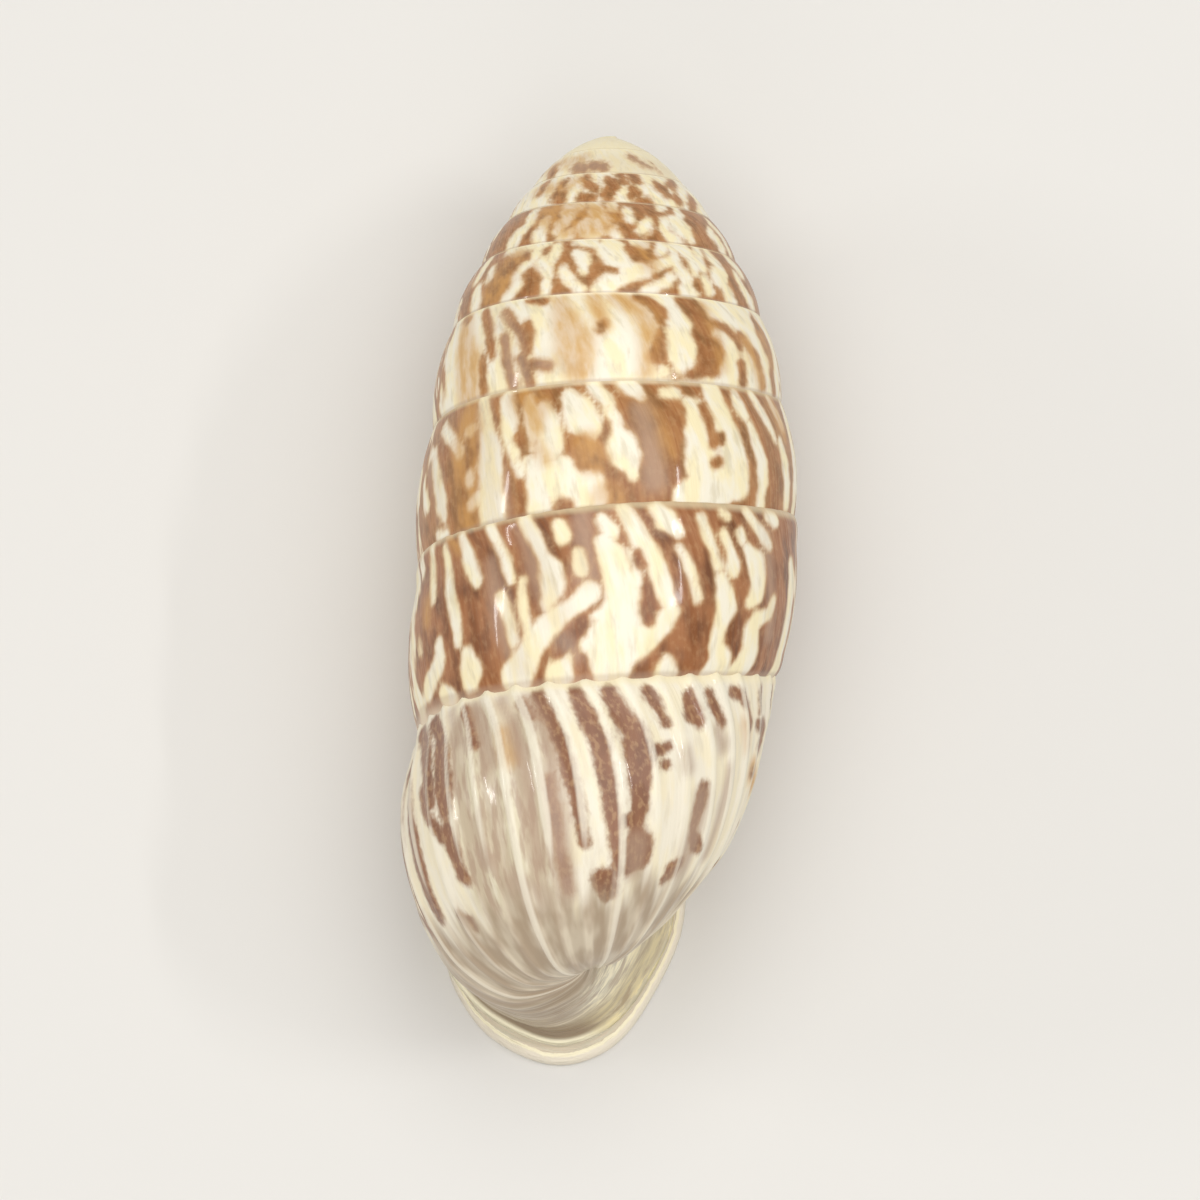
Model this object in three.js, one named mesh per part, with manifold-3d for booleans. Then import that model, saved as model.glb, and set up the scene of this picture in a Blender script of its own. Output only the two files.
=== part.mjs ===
import * as THREE from 'three';
import { mergeVertices } from 'three/addons/utils/BufferGeometryUtils.js';
import Module from 'manifold-3d';

// A land snail shell lying mouth down, in millimetres. +Y points to the apex and +Z is up.
// A place on a whorl is given by its turn, counted from the apex, its radius from the axis
// and its depth below the apex. A whole turn is on the right (+X), a half turn on the left.

// The suture, at every half turn from the apex
const SUTURE_DEPTH = [0, 0.22, 0.52, 0.95, 1.47, 2.02, 2.6, 3.22, 3.93, 4.73, 5.68, 6.9, 8.42,
  10.22, 12.28, 14.84, 17.56, 19.95];
const SUTURE_RADIUS = [0, 0.75, 1.22, 1.72, 2.22, 2.62, 3.12, 3.42, 3.95, 4.3, 4.88, 5.1, 5.68,
  5.55, 6.14, 5.88, 5.63, 5.66];
const BACK_DIP = { from: 8, to: 8.5, depth: 0.35 };
const FIRST_BULGE = 0.09;
const LAST_BULGE = 0.4;
const LEAN = 0.05;
const SPIRE_TURNS = 7.5;
const SPIRE_STEPS = 32;
const FLANK_ROWS = 5;

// The last whorl: outlines from the suture round the flank and base to the columella.
// Each one stands at a turn, and is carried forward, towards the ground, behind the mouth.
const OLD_WHORL = { turn: 7.35, forward: 0, outline: [[5.3, 14.5], [5.75, 15.8], [6.0, 17.3],
  [5.7, 19.2], [4.9, 21.1], [3.4, 22.8], [1.8, 23.6], [0.5, 23.7], [0.06, 22.5], [0.06, 19],
  [1.2, 16], [3.4, 14.8]] };
const LEFT_WHORL = { turn: 7.5, forward: 0, outline: [[5.5, 14.6], [5.98, 15.9], [6.17, 17.3],
  [6.0, 19.3], [5.2, 21.5], [3.8, 23.4], [2.2, 24.4], [0.5, 24.6], [0.06, 23], [0.06, 19.5],
  [1.2, 16.5], [3.6, 15]] };
const BELLY_WHORL = { turn: 7.75, forward: 0, outline: [[5.45, 15.9], [5.85, 17.1], [5.95, 18.5],
  [5.75, 20.4], [4.95, 22.6], [3.7, 24.4], [2.1, 25.6], [0.45, 26.1], [0.06, 24.5], [0.06, 21],
  [1.2, 18], [3.6, 16.6]] };
const RIGHT_WHORL = { turn: 8, forward: 0, outline: [[5.35, 17.2], [5.6, 18.3], [5.5, 19.4],
  [5.1, 21.2], [4.35, 23.1], [3.3, 24.7], [1.9, 26.1], [0.45, 27.1], [0.06, 25.5], [0.06, 22],
  [1.2, 19.5], [3.6, 18]] };
const BACK_WHORL = { turn: 8.25, forward: 0, outline: [[5.4, 18.9], [5.85, 20.2], [6.05, 21.8],
  [5.85, 23.5], [5.2, 25.2], [4.0, 26.6], [2.4, 27.5], [0.5, 27.35], [0.06, 26], [0.06, 23],
  [1.2, 20.5], [3.6, 19.3]] };
const WIDE_WHORL = { turn: 8.5, forward: 0, outline: [[5.4, 19.7], [6.02, 21.2], [6.28, 22.9],
  [6.1, 24.7], [5.55, 26.3], [4.4, 27.9], [2.5, 28.6], [0.7, 27.9], [0.06, 26.8], [0.06, 24],
  [1.2, 21.5], [3.6, 20.2]] };
const FIRST_NECK = { turn: 8.56, forward: 0.5, outline: [[5.3, 20.3], [5.9, 21.8], [6.1, 23.4],
  [5.9, 25.1], [5.3, 26.7], [4.1, 28.1], [2.2, 28.75], [0.5, 28.1], [-0.1, 26.9], [-0.2, 24.4],
  [0.8, 22], [3.2, 20.6]] };
const SECOND_NECK = { turn: 8.57, forward: 2.2, outline: [[5.2, 21.0], [5.6, 22.2], [5.65, 23.7],
  [5.4, 25.3], [4.8, 26.9], [3.6, 28.2], [1.7, 28.8], [0, 28.1], [-1, 26.6], [-1.4, 24.4],
  [-0.2, 22], [2.4, 20.8]] };
const CREST = { turn: 8.5, forward: 4.95, outline: [[4.2, 21.9], [4.7, 23.1], [4.8, 24.5],
  [4.65, 25.9], [4.1, 27.1], [3.0, 28.1], [1.2, 28.75], [-0.4, 28.1], [-1.5, 26.6],
  [-2.25, 24.6], [-1.6, 22.4], [1.2, 21.0]] };
const RIM = [[4.6, 21.2], [5.1, 22.7], [5.05, 24.4], [4.75, 26.0], [4.15, 27.4], [3.0, 28.8],
  [1.13, 29.55], [-0.6, 28.9], [-1.85, 27.3], [-2.95, 24.6], [-2.4, 21.9], [1.2, 20.3]];
const MOUTH_FORWARD = 5.9;
const RIM_THICKNESS = 0.3;
const LIP_WIDTH = 1.0;
const WALL = 0.5;
const MOUTH_END_TURN = 8.33;

// Low ribs across the last whorl
const RIBS_PER_TURN = 36;
const RIB_HEIGHT = 0.11;
const RIBS_FROM = 7.55;
const RINGS_PER_RIB = 3;
const RING_POINTS = 24;
const NARROW_RING_POINTS = 20;
const NECK_STEPS = 15;

// Pillar round the axis, that the whorls grow from
const COLUMELLA = { topRadius: 3.2, lowRadius: 0.55, top: 16, bottom: 26.8 };

// Tooth on the parietal wall and fold on the columella
const TOOTH = { at: [-0.6, 23.1, -4.9], size: [0.32, 0.9, 0.55] };
const FOLD = { at: [0.35, 25.3, -3.6], size: [0.4, 0.5, 1.3] };

const SMOOTHING = 0.012;
const WELD = 0.006;

const wasm = await Module();
wasm.setup();

// A smooth curve through evenly spaced values
function blend(values, place) {
  const last = values.length - 1;
  const index = Math.min(Math.floor(place), last - 1);
  const at = (i) => {
    if (i < 0) return 2 * values[0] - values[1];
    if (i > last) return 2 * values[last] - values[last - 1];
    return values[i];
  };
  const f = place - index;
  const [a, b, c, d] = [at(index - 1), at(index), at(index + 1), at(index + 2)];
  const linear = (c - a) * f;
  const square = (2 * a - 5 * b + 4 * c - d) * f * f;
  const cube = (3 * b - a - 3 * c + d) * f * f * f;
  return 0.5 * (2 * b + linear + square + cube);
}

// The suture's radius and depth at a turn; across the back of the last whorl it dips
function sutureAt(turn) {
  const share = THREE.MathUtils.clamp((turn - BACK_DIP.from) / (BACK_DIP.to - BACK_DIP.from), 0, 1);
  const dip = BACK_DIP.depth * Math.sin(Math.PI * share);
  return [blend(SUTURE_RADIUS, 2 * turn), blend(SUTURE_DEPTH, 2 * turn) + dip];
}

// A point of the shell, from its turn, radius, depth and way forward
function place(turn, radius, depth, forward = 0) {
  const angle = 2 * Math.PI * turn;
  const x = radius * Math.cos(angle);
  const z = radius * Math.sin(angle) - forward;
  return new THREE.Vector3(x, -(depth + LEAN * x), z);
}

// A point on the flank of a whorl, from one suture (0) to the next (1)
function flankPoint(turn, across) {
  const [topRadius, topDepth] = sutureAt(turn);
  const [lowRadius, lowDepth] = sutureAt(turn + 1);
  const growth = turn / SPIRE_TURNS;
  const bulge = FIRST_BULGE + (LAST_BULGE - FIRST_BULGE) * growth ** 1.4;
  const out = bulge * Math.sin(Math.PI * across) ** 0.8;
  const width = lowRadius - topRadius;
  const height = lowDepth - topDepth;
  const slant = Math.hypot(width, height);
  const radius = topRadius + width * across + (out * height) / slant;
  const depth = topDepth + height * across - (out * width) / slant;
  return place(turn, radius, depth);
}

function geometryFrom(points, faces) {
  const geometry = new THREE.BufferGeometry().setFromPoints(points);
  geometry.setIndex(faces.flat());
  return geometry;
}

// The spire: one sheet wound from the apex, closed at both ends by a fan
function spireGeometry() {
  const points = [];
  const faces = [];
  const steps = SPIRE_TURNS * SPIRE_STEPS;
  const index = new Map();
  const vertex = (step, row) => {
    const [s, r] = row === FLANK_ROWS ? [step + SPIRE_STEPS, 0] : [step, row];
    const key = `${s},${r}`;
    if (!index.has(key)) {
      index.set(key, points.length);
      const suturePlace = () => place(s / SPIRE_STEPS, ...sutureAt(s / SPIRE_STEPS));
      points.push(r === 0 ? suturePlace() : flankPoint(s / SPIRE_STEPS, r / FLANK_ROWS));
    }
    return index.get(key);
  };
  for (let step = 0; step < steps; step += 1) {
    for (let row = 0; row < FLANK_ROWS; row += 1) {
      const a = vertex(step, row);
      const b = vertex(step + 1, row);
      const c = vertex(step + 1, row + 1);
      const d = vertex(step, row + 1);
      faces.push([a, b, c], [a, c, d]);
    }
  }
  const fan = (loop, centre) => {
    points.push(centre);
    const middle = points.length - 1;
    loop.forEach((corner, i) => faces.push([corner, middle, loop[(i + 1) % loop.length]]));
  };
  const apexLoop = [];
  for (let step = 0; step <= SPIRE_STEPS; step += 1) apexLoop.push(vertex(step, 0));
  for (let row = FLANK_ROWS - 1; row > 0; row -= 1) apexLoop.push(vertex(0, row));
  fan(apexLoop, place(0.35, 0.3, 0.1));
  const baseLoop = [];
  for (let row = 0; row < FLANK_ROWS; row += 1) baseLoop.push(vertex(steps, row));
  for (let step = steps + SPIRE_STEPS; step > steps; step -= 1) baseLoop.push(vertex(step, 0));
  fan(baseLoop, place(0, 0.01, 21));
  return geometryFrom(points, faces);
}

// A closed solid through a row of rings, with a fan over each end
function loftGeometry(rings) {
  const points = rings.flat();
  const faces = [];
  const count = rings[0].length;
  for (let ring = 0; ring < rings.length - 1; ring += 1) {
    for (let i = 0; i < count; i += 1) {
      const j = (i + 1) % count;
      const here = ring * count;
      const next = here + count;
      faces.push([here + i, next + i, next + j], [here + i, next + j, here + j]);
    }
  }
  [0, rings.length - 1].forEach((ring) => {
    const middle = new THREE.Vector3();
    rings[ring].forEach((point) => middle.addScaledVector(point, 1 / count));
    points.push(middle);
    for (let i = 0; i < count; i += 1) {
      const corners = [ring * count + i, ring * count + ((i + 1) % count)];
      if (ring > 0) corners.reverse();
      faces.push([corners[0], corners[1], points.length - 1]);
    }
  });
  return geometryFrom(points, faces);
}

// A closed curve through an outline's corners, as a ring of points
function smoothOutline(outline, count) {
  const corners = outline.map(([radius, depth]) => new THREE.Vector3(radius, depth, 0));
  const curve = new THREE.CatmullRomCurve3(corners, true, 'centripetal');
  return Array.from({ length: count }, (_, i) => curve.getPoint(i / count));
}

function inset(outline, distance) {
  const middle = outline.reduce(([r, d], [radius, depth]) => [r + radius, d + depth], [0, 0]);
  const [midRadius, midDepth] = middle.map((total) => total / outline.length);
  return outline.map(([radius, depth]) => {
    const reach = Math.hypot(radius - midRadius, depth - midDepth);
    const keep = 1 - distance / reach;
    return [midRadius + (radius - midRadius) * keep, midDepth + (depth - midDepth) * keep];
  });
}

// The station at a place counted in stations, between the given ones
function stationBetween(stations, at) {
  const mix = (pick) => blend(stations.map(pick), at);
  return {
    turn: mix((station) => station.turn),
    forward: mix((station) => station.forward),
    outline: stations[0].outline.map((_, i) => [
      mix((station) => station.outline[i][0]),
      mix((station) => station.outline[i][1]),
    ]),
  };
}

// The station at a turn, for stations that follow the axis round
function stationAtTurn(stations, turn) {
  const next = stations.findIndex((station) => station.turn > turn);
  const after = next < 0 ? stations.length - 1 : next;
  const [low, high] = [stations[after - 1].turn, stations[after].turn];
  const at = after - 1 + (turn - low) / (high - low);
  return { ...stationBetween(stations, at), turn, forward: 0 };
}

// Height of the ribs at a turn, and how much of it each point of a ring takes
function ribLift(turn) {
  const fade = THREE.MathUtils.smoothstep(turn, RIBS_FROM, RIBS_FROM + 0.3);
  return RIB_HEIGHT * fade * Math.max(0, Math.cos(2 * Math.PI * turn * RIBS_PER_TURN)) ** 2;
}

function ringOf(station, count, lift) {
  const ring = smoothOutline(station.outline, count);
  return ring.map((point, i) => {
    const share = i / count;
    const outside = Math.max(0, 1 - Math.abs(share - 0.2) / 0.3) ** 0.5;
    const radius = point.x + lift * outside * 0.9;
    const depth = point.y + lift * outside * Math.max(0, share - 0.2) * 3;
    return place(station.turn, radius, depth, station.forward);
  });
}

// Rings round the axis from one turn to another, with a ring on the top of each rib
function whorlRings(stations, from, to) {
  const rings = [];
  const perTurn = RIBS_PER_TURN * RINGS_PER_RIB;
  for (let step = Math.ceil(from * perTurn); step <= to * perTurn; step += 1) {
    const turn = step / perTurn;
    rings.push(ringOf(stationAtTurn(stations, turn), RING_POINTS, ribLift(turn)));
  }
  return rings;
}

function solidFrom(geometry) {
  geometry.deleteAttribute('normal');
  geometry.deleteAttribute('uv');
  const merged = mergeVertices(geometry, 1e-5);
  const vertProperties = new Float32Array(merged.attributes.position.array);
  const triVerts = new Uint32Array(merged.index.array);
  return new wasm.Manifold(new wasm.Mesh({ numProp: 3, vertProperties, triVerts }));
}

function outward(geometry) {
  const solid = solidFrom(geometry);
  if (solid.volume() > 0) return solid;
  const faces = Array.from(geometry.index.array);
  const turned = faces.map((_, i) => faces[i - (i % 3) + (2 - (i % 3))]);
  geometry.setIndex(turned);
  return solidFrom(geometry);
}

function ovalSolid({ at, size }) {
  const geometry = new THREE.SphereGeometry(1, 10, 8);
  geometry.scale(size[0], size[1], size[2]);
  geometry.translate(at[0], -at[1], at[2]);
  return outward(geometry);
}

function columellaSolid() {
  const { topRadius, lowRadius, top, bottom } = COLUMELLA;
  const geometry = new THREE.CylinderGeometry(topRadius, lowRadius, bottom - top, 16);
  geometry.translate(0, -(top + bottom) / 2, 0);
  return outward(geometry);
}

// The last half whorl, the neck behind the mouth, and the rim of the lip
function lastHalfRings() {
  const wound = [BELLY_WHORL, RIGHT_WHORL, BACK_WHORL, WIDE_WHORL];
  const rings = whorlRings(wound, 8.05, WIDE_WHORL.turn);
  const necks = [BACK_WHORL, WIDE_WHORL, FIRST_NECK, SECOND_NECK, CREST];
  for (let i = 1; i <= NECK_STEPS; i += 1) {
    const station = stationBetween(necks, 1 + (3 * i) / NECK_STEPS);
    rings.push(ringOf(station, RING_POINTS, ribLift(station.turn) * (1 - i / NECK_STEPS)));
  }
  const lipRing = (outline, forward) => ringOf({ turn: 8.5, forward, outline }, RING_POINTS, 0);
  rings.push(lipRing(inset(RIM, 0.1), MOUTH_FORWARD - RIM_THICKNESS));
  rings.push(lipRing(RIM, MOUTH_FORWARD - RIM_THICKNESS / 2));
  rings.push(lipRing(inset(RIM, 0.08), MOUTH_FORWARD));
  return rings;
}

// The hollow behind the mouth, narrowing as it follows the whorl back
function hollowRings() {
  const inside = ({ turn, forward, outline }, distance) => (
    { turn, forward, outline: inset(outline, distance) });
  const mouth = (forward) => ({ turn: 8.5, forward, outline: inset(RIM, LIP_WIDTH) });
  const end = { turn: MOUTH_END_TURN, forward: 0, outline: BACK_WHORL.outline };
  const stations = [inside(end, 2.7), inside(WIDE_WHORL, 1.1), inside(FIRST_NECK, WALL + 0.1),
    inside(SECOND_NECK, WALL), inside(CREST, WALL)];
  const rings = [];
  const steps = 14;
  for (let i = 0; i <= steps; i += 1) {
    const station = stationBetween(stations, (4 * i) / steps);
    rings.push(ringOf(station, NARROW_RING_POINTS, 0));
  }
  rings.push(ringOf(mouth(MOUTH_FORWARD - 0.25), NARROW_RING_POINTS, 0));
  rings.push(ringOf(mouth(MOUTH_FORWARD + 1), NARROW_RING_POINTS, 0));
  return rings;
}

function largestBody(solid) {
  return solid.decompose().reduce((kept, body) => (body.volume() > kept.volume() ? body : kept));
}

// The same solid with points nearer than the weld distance joined, and slivers dropped
function welded(solid) {
  const merged = mergeVertices(geometryOf(solid), WELD);
  const corners = Array.from(merged.index.array);
  const kept = [];
  for (let i = 0; i < corners.length; i += 3) {
    const [a, b, c] = corners.slice(i, i + 3);
    if (a !== b && b !== c && c !== a) kept.push(a, b, c);
  }
  merged.setIndex(kept);
  return largestBody(solidFrom(merged));
}

function shellSolid() {
  const spire = outward(spireGeometry());
  const wound = [OLD_WHORL, LEFT_WHORL, BELLY_WHORL, RIGHT_WHORL, BACK_WHORL];
  const bodyWhorl = outward(loftGeometry(whorlRings(wound, OLD_WHORL.turn, 8.2)));
  const hollow = outward(loftGeometry(hollowRings()));
  const lastHalf = outward(loftGeometry(lastHalfRings())).subtract(hollow);
  const pillar = columellaSolid();
  const folds = ovalSolid(TOOTH).add(ovalSolid(FOLD));
  const whole = spire.add(bodyWhorl).add(lastHalf).add(pillar).add(folds);
  const trimmed = whole.trimByPlane([0, 0, 1], -MOUTH_FORWARD);
  return welded(welded(trimmed.asOriginal().simplify(SMOOTHING)).simplify(SMOOTHING));
}

function geometryOf(solid) {
  const mesh = solid.getMesh();
  const geometry = new THREE.BufferGeometry();
  geometry.setAttribute('position', new THREE.BufferAttribute(mesh.vertProperties, 3));
  geometry.setIndex(Array.from(mesh.triVerts));
  return geometry;
}

// The origin is under the middle of the shell, on the ground
function centred(geometry) {
  geometry.computeBoundingBox();
  const { min, max } = geometry.boundingBox;
  geometry.translate(-(min.x + max.x) / 2, -(min.y + max.y) / 2, -min.z);
  return geometry;
}

const polishedShell = new THREE.MeshStandardMaterial({
  color: 0xcbb598,
  roughness: 0.35,
  metalness: 0,
});
const shell = new THREE.Mesh(centred(geometryOf(shellSolid())), polishedShell);
shell.name = 'shell';

const part = new THREE.Group();
part.add(shell);

export default part;
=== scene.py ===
"""A land snail shell lying mouth down, dressed over its solid."""

import logging
import math
from dataclasses import dataclass, field
from enum import Enum

import bpy
import numpy as np
from mathutils import Matrix, Vector


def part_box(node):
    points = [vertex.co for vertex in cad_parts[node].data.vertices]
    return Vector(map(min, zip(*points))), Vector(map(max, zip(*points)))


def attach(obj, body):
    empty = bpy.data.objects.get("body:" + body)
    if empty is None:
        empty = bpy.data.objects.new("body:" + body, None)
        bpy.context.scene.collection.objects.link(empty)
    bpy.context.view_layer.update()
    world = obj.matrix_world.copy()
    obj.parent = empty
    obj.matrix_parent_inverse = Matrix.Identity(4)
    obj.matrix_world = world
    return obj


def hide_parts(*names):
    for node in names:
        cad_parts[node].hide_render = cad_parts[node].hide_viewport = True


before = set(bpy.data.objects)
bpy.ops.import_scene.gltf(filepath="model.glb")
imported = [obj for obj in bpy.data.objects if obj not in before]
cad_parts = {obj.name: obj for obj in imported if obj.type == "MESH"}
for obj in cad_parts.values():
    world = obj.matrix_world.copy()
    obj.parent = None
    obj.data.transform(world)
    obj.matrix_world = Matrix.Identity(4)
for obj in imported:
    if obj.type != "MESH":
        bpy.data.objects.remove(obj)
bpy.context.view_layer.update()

MM = 0.001
PHOTO_SIDE_PX = 1200
PHOTO_PX_PER_MM = 31.0
SEAM_TURNS = 0.0004

Colour = tuple[float, float, float, float]
Socket = bpy.types.NodeSocket
Rings = tuple[np.ndarray, np.ndarray, np.ndarray]

log = logging.getLogger("shell")


class Slot(Enum):
    """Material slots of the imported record."""

    SHELL = "polished_shell"


class Zone(Enum):
    """Sheets of the winding, in the order that the shell grew."""

    SPIRE = "spire"
    LAST_WHORL = "last_whorl"


class Stretch(Enum):
    """Stretches of the last whorl's rings, by the number that its points carry."""

    WOUND = 0.0
    NECK = 1.0
    LIP = 2.0
    HOLLOW = 3.0


def smoothstep(low: float, high: float, value: np.ndarray) -> np.ndarray:
    """Ease from 0 at low to 1 at high.

    Args:
        low: Value where the step starts.
        high: Value where the step ends.
        value: Values to ease.

    Returns:
        The eased values, from 0 to 1.
    """
    share = np.clip((value - low) / (high - low), 0.0, 1.0)
    return share * share * (3.0 - 2.0 * share)


def blend(values: np.ndarray, place: np.ndarray) -> np.ndarray:
    """Read a smooth curve through evenly spaced values.

    Args:
        values: Values along the first axis.
        place: Places to read, counted in values.

    Returns:
        The curve's values at those places.
    """
    values = np.asarray(values, dtype=float)
    last = len(values) - 1
    index = np.clip(np.floor(place).astype(int), 0, last - 1)
    share = place - index
    padded = np.concatenate([[2 * values[0] - values[1]], values, [2 * values[-1] - values[-2]]])
    share = share.reshape(share.shape + (1,) * (values.ndim - 1))
    before, here, after, beyond = (padded[index + step] for step in range(4))
    linear = (after - before) * share
    square = (2 * before - 5 * here + 4 * after - beyond) * share**2
    cube = (3 * here - before - 3 * after + beyond) * share**3
    return 0.5 * (2 * here + linear + square + cube)


@dataclass(frozen=True)
class Growth:
    """The winding of the shell, in millimetres from the apex and from the axis."""

    suture_depth: tuple[float, ...] = (
        0, 0.22, 0.52, 0.95, 1.47, 2.02, 2.6, 3.22, 3.93, 4.73, 5.68, 6.9, 8.42,
        10.22, 12.28, 14.84, 17.56, 19.95, 22.6, 25.2)
    suture_radius: tuple[float, ...] = (
        0, 0.78, 1.28, 1.76, 2.34, 2.62, 3.25, 3.38, 4.1, 4.18, 4.92, 5.03, 5.66,
        5.55, 6.14, 5.88, 5.63, 5.66, 5.6, 5.5)
    back_dip: float = 0.35
    dip_from: float = 8.0
    dip_turns: float = 0.5
    first_bulge: float = 0.05
    last_bulge: float = 0.4
    bulge_turns: float = 7.5
    bulge_power: float = 2.0
    bulge_roundness: float = 0.8
    lean: float = 0.05
    widest_right: float = 6.29
    mouth_forward: float = 5.9
    line_bend: float = 0.042
    line_reach: float = 0.5

    def suture(self, turn: np.ndarray) -> tuple[np.ndarray, np.ndarray]:
        """Give the suture's place at each turn.

        Args:
            turn: Turns from the apex.

        Returns:
            The suture's radius and its depth below the apex, in millimetres.
        """
        turn = np.maximum(turn, 0.0)
        share = np.clip((turn - self.dip_from) / self.dip_turns, 0.0, 1.0)
        dip = self.back_dip * np.sin(math.pi * share)
        radius = blend(self.suture_radius, 2 * turn)
        return radius, blend(self.suture_depth, 2 * turn) + dip

    def flank(self, turn: np.ndarray, across: np.ndarray) -> tuple[np.ndarray, np.ndarray]:
        """Give the radius and depth of a whorl's flank.

        Args:
            turn: Turns from the apex.
            across: Places from one suture, at 0, to the next, at 1.

        Returns:
            The radius and the depth at each place.
        """
        top_radius, top_depth = self.suture(turn)
        low_radius, low_depth = self.suture(turn + 1)
        growth = np.clip(turn / self.bulge_turns, 0.0, 1.0)
        bulge = self.first_bulge + (self.last_bulge - self.first_bulge) * growth**self.bulge_power
        out = bulge * np.sin(math.pi * np.clip(across, 0.0, 1.0)) ** self.bulge_roundness
        width = low_radius - top_radius
        height = low_depth - top_depth
        slant = np.maximum(np.hypot(width, height), 1e-9)
        radius = top_radius + width * across + out * height / slant
        return radius, top_depth + height * across - out * width / slant

    def line(self, turn: np.ndarray, across: np.ndarray) -> np.ndarray:
        """Number the growth lines, which start ahead at the suture and bend back below it.

        Args:
            turn: Turns from the apex.
            across: Places from one suture, at 0, to the next, at 1.

        Returns:
            The number of the growth line at each place, counted in turns.
        """
        return turn + self.line_bend * (1 - np.exp(-np.maximum(across, 0.0) / self.line_reach))

    def place(self, turn: np.ndarray, radius: np.ndarray, depth: np.ndarray,
              forward: np.ndarray) -> np.ndarray:
        """Turn places on the winding into points of the frame.

        Args:
            turn: Turns from the apex.
            radius: Distances from the axis, in millimetres.
            depth: Depths below the apex, in millimetres.
            forward: Ways towards the ground, in millimetres.

        Returns:
            The points, in metres.
        """
        low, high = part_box("shell")
        angle = 2 * math.pi * turn
        across = radius * np.cos(angle)
        up = radius * np.sin(angle) - forward
        x = high[0] / MM - self.widest_right + across
        y = high[1] / MM - (depth + self.lean * across)
        z = low[2] / MM + np.maximum(self.mouth_forward + up, 0.0)
        return np.stack([x, y, z], axis=-1) * MM


@dataclass(frozen=True)
class Station:
    """An outline of the last whorl, where it stands and how far it is carried forward."""

    turn: float
    forward: float
    outline: tuple[tuple[float, float], ...]


OLD_WHORL = Station(7.35, 0, (
    (5.75, 13.8), (5.98, 15.0), (6.12, 16.6), (5.85, 18.9), (4.9, 21.1), (3.4, 22.8),
    (1.8, 23.6), (0.5, 23.7), (0.06, 22.5), (0.06, 19), (1.2, 16), (3.4, 14.8)))
LEFT_WHORL = Station(7.5, 0, (
    (5.73, 14.55), (5.98, 15.7), (6.17, 17.3), (6.0, 19.3), (5.2, 21.5), (3.8, 23.4),
    (2.2, 24.4), (0.5, 24.6), (0.06, 23), (0.06, 19.5), (1.2, 16.5), (3.6, 15)))
BELLY_WHORL = Station(7.75, 0, (
    (5.55, 15.9), (5.82, 17.1), (5.95, 18.5), (5.75, 20.4), (4.95, 22.6), (3.7, 24.4),
    (2.1, 25.6), (0.45, 26.1), (0.06, 24.5), (0.06, 21), (1.2, 18), (3.6, 16.6)))
RIGHT_WHORL = Station(8.0, 0, (
    (5.46, 17.28), (5.5, 18.3), (5.3, 19.4), (4.9, 21.2), (4.15, 23.1), (3.05, 24.6),
    (1.75, 26.0), (0.45, 27.1), (0.06, 25.5), (0.06, 22), (1.2, 19.5), (3.6, 18)))
BACK_WHORL = Station(8.25, 0, (
    (5.5, 18.9), (5.85, 20.2), (6.05, 21.8), (5.85, 23.5), (5.2, 25.2), (4.0, 26.6),
    (2.4, 27.5), (0.5, 27.35), (0.06, 26), (0.06, 23), (1.2, 20.5), (3.6, 19.3)))
WIDE_WHORL = Station(8.5, 0, (
    (5.4, 19.7), (5.92, 21.2), (6.2, 22.9), (5.98, 24.7), (5.36, 26.3), (4.22, 27.85),
    (2.5, 28.6), (0.7, 27.9), (0.06, 26.8), (0.06, 24), (1.2, 21.5), (3.6, 20.2)))
FIRST_NECK = Station(8.56, 0.5, (
    (5.3, 20.3), (5.9, 21.8), (6.1, 23.4), (5.9, 25.1), (5.3, 26.7), (4.1, 28.1),
    (2.2, 28.75), (0.5, 28.1), (-0.1, 26.9), (-0.2, 24.4), (0.8, 22), (3.2, 20.6)))
SECOND_NECK = Station(8.57, 2.2, (
    (5.2, 21.0), (5.6, 22.2), (5.65, 23.7), (5.4, 25.3), (4.8, 26.9), (3.6, 28.2),
    (1.7, 28.8), (0, 28.1), (-1, 26.6), (-1.4, 24.4), (-0.2, 22), (2.4, 20.8)))
CREST = Station(8.5, 4.95, (
    (4.2, 21.9), (4.7, 23.1), (4.8, 24.5), (4.65, 25.9), (4.1, 27.1), (3.0, 28.1),
    (1.2, 28.75), (-0.4, 28.1), (-1.5, 26.6), (-2.25, 24.6), (-1.6, 22.4), (1.2, 21.0)))
RIM = (
    (4.6, 21.2), (5.1, 22.7), (5.1, 24.4), (4.88, 26.05), (4.4, 27.55), (3.2, 28.98),
    (1.2, 29.68), (-0.6, 29.05), (-1.9, 27.35), (-2.95, 24.6), (-2.4, 21.9), (1.2, 20.3))


def inset(outline: np.ndarray, distance: float) -> np.ndarray:
    """Shrink an outline towards its middle by a distance.

    Args:
        outline: Corners of the outline.
        distance: How far each corner moves, in millimetres.

    Returns:
        The corners of the smaller outline.
    """
    outline = np.asarray(outline, dtype=float)
    middle = outline.mean(axis=0)
    reach = np.linalg.norm(outline - middle, axis=1, keepdims=True)
    return middle + (outline - middle) * (1 - distance / reach)


def enclosed(points: np.ndarray, outline: np.ndarray) -> np.ndarray:
    """Tell which points of one plane lie inside a closed outline.

    Args:
        points: Points of the plane, as pairs.
        outline: Corners of the outline, as pairs.

    Returns:
        True for each point inside.
    """
    x, y = points[:, None, 0], points[:, None, 1]
    start, end = outline, np.roll(outline, -1, axis=0)
    rise = np.where(start[:, 1] == end[:, 1], 1e-9, end[:, 1] - start[:, 1])
    crossing = start[:, 0] + (y - start[:, 1]) / rise * (end[:, 0] - start[:, 0])
    spans = (start[:, 1] > y) != (end[:, 1] > y)
    return np.sum(spans & (x < crossing), axis=1) % 2 == 1


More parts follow.
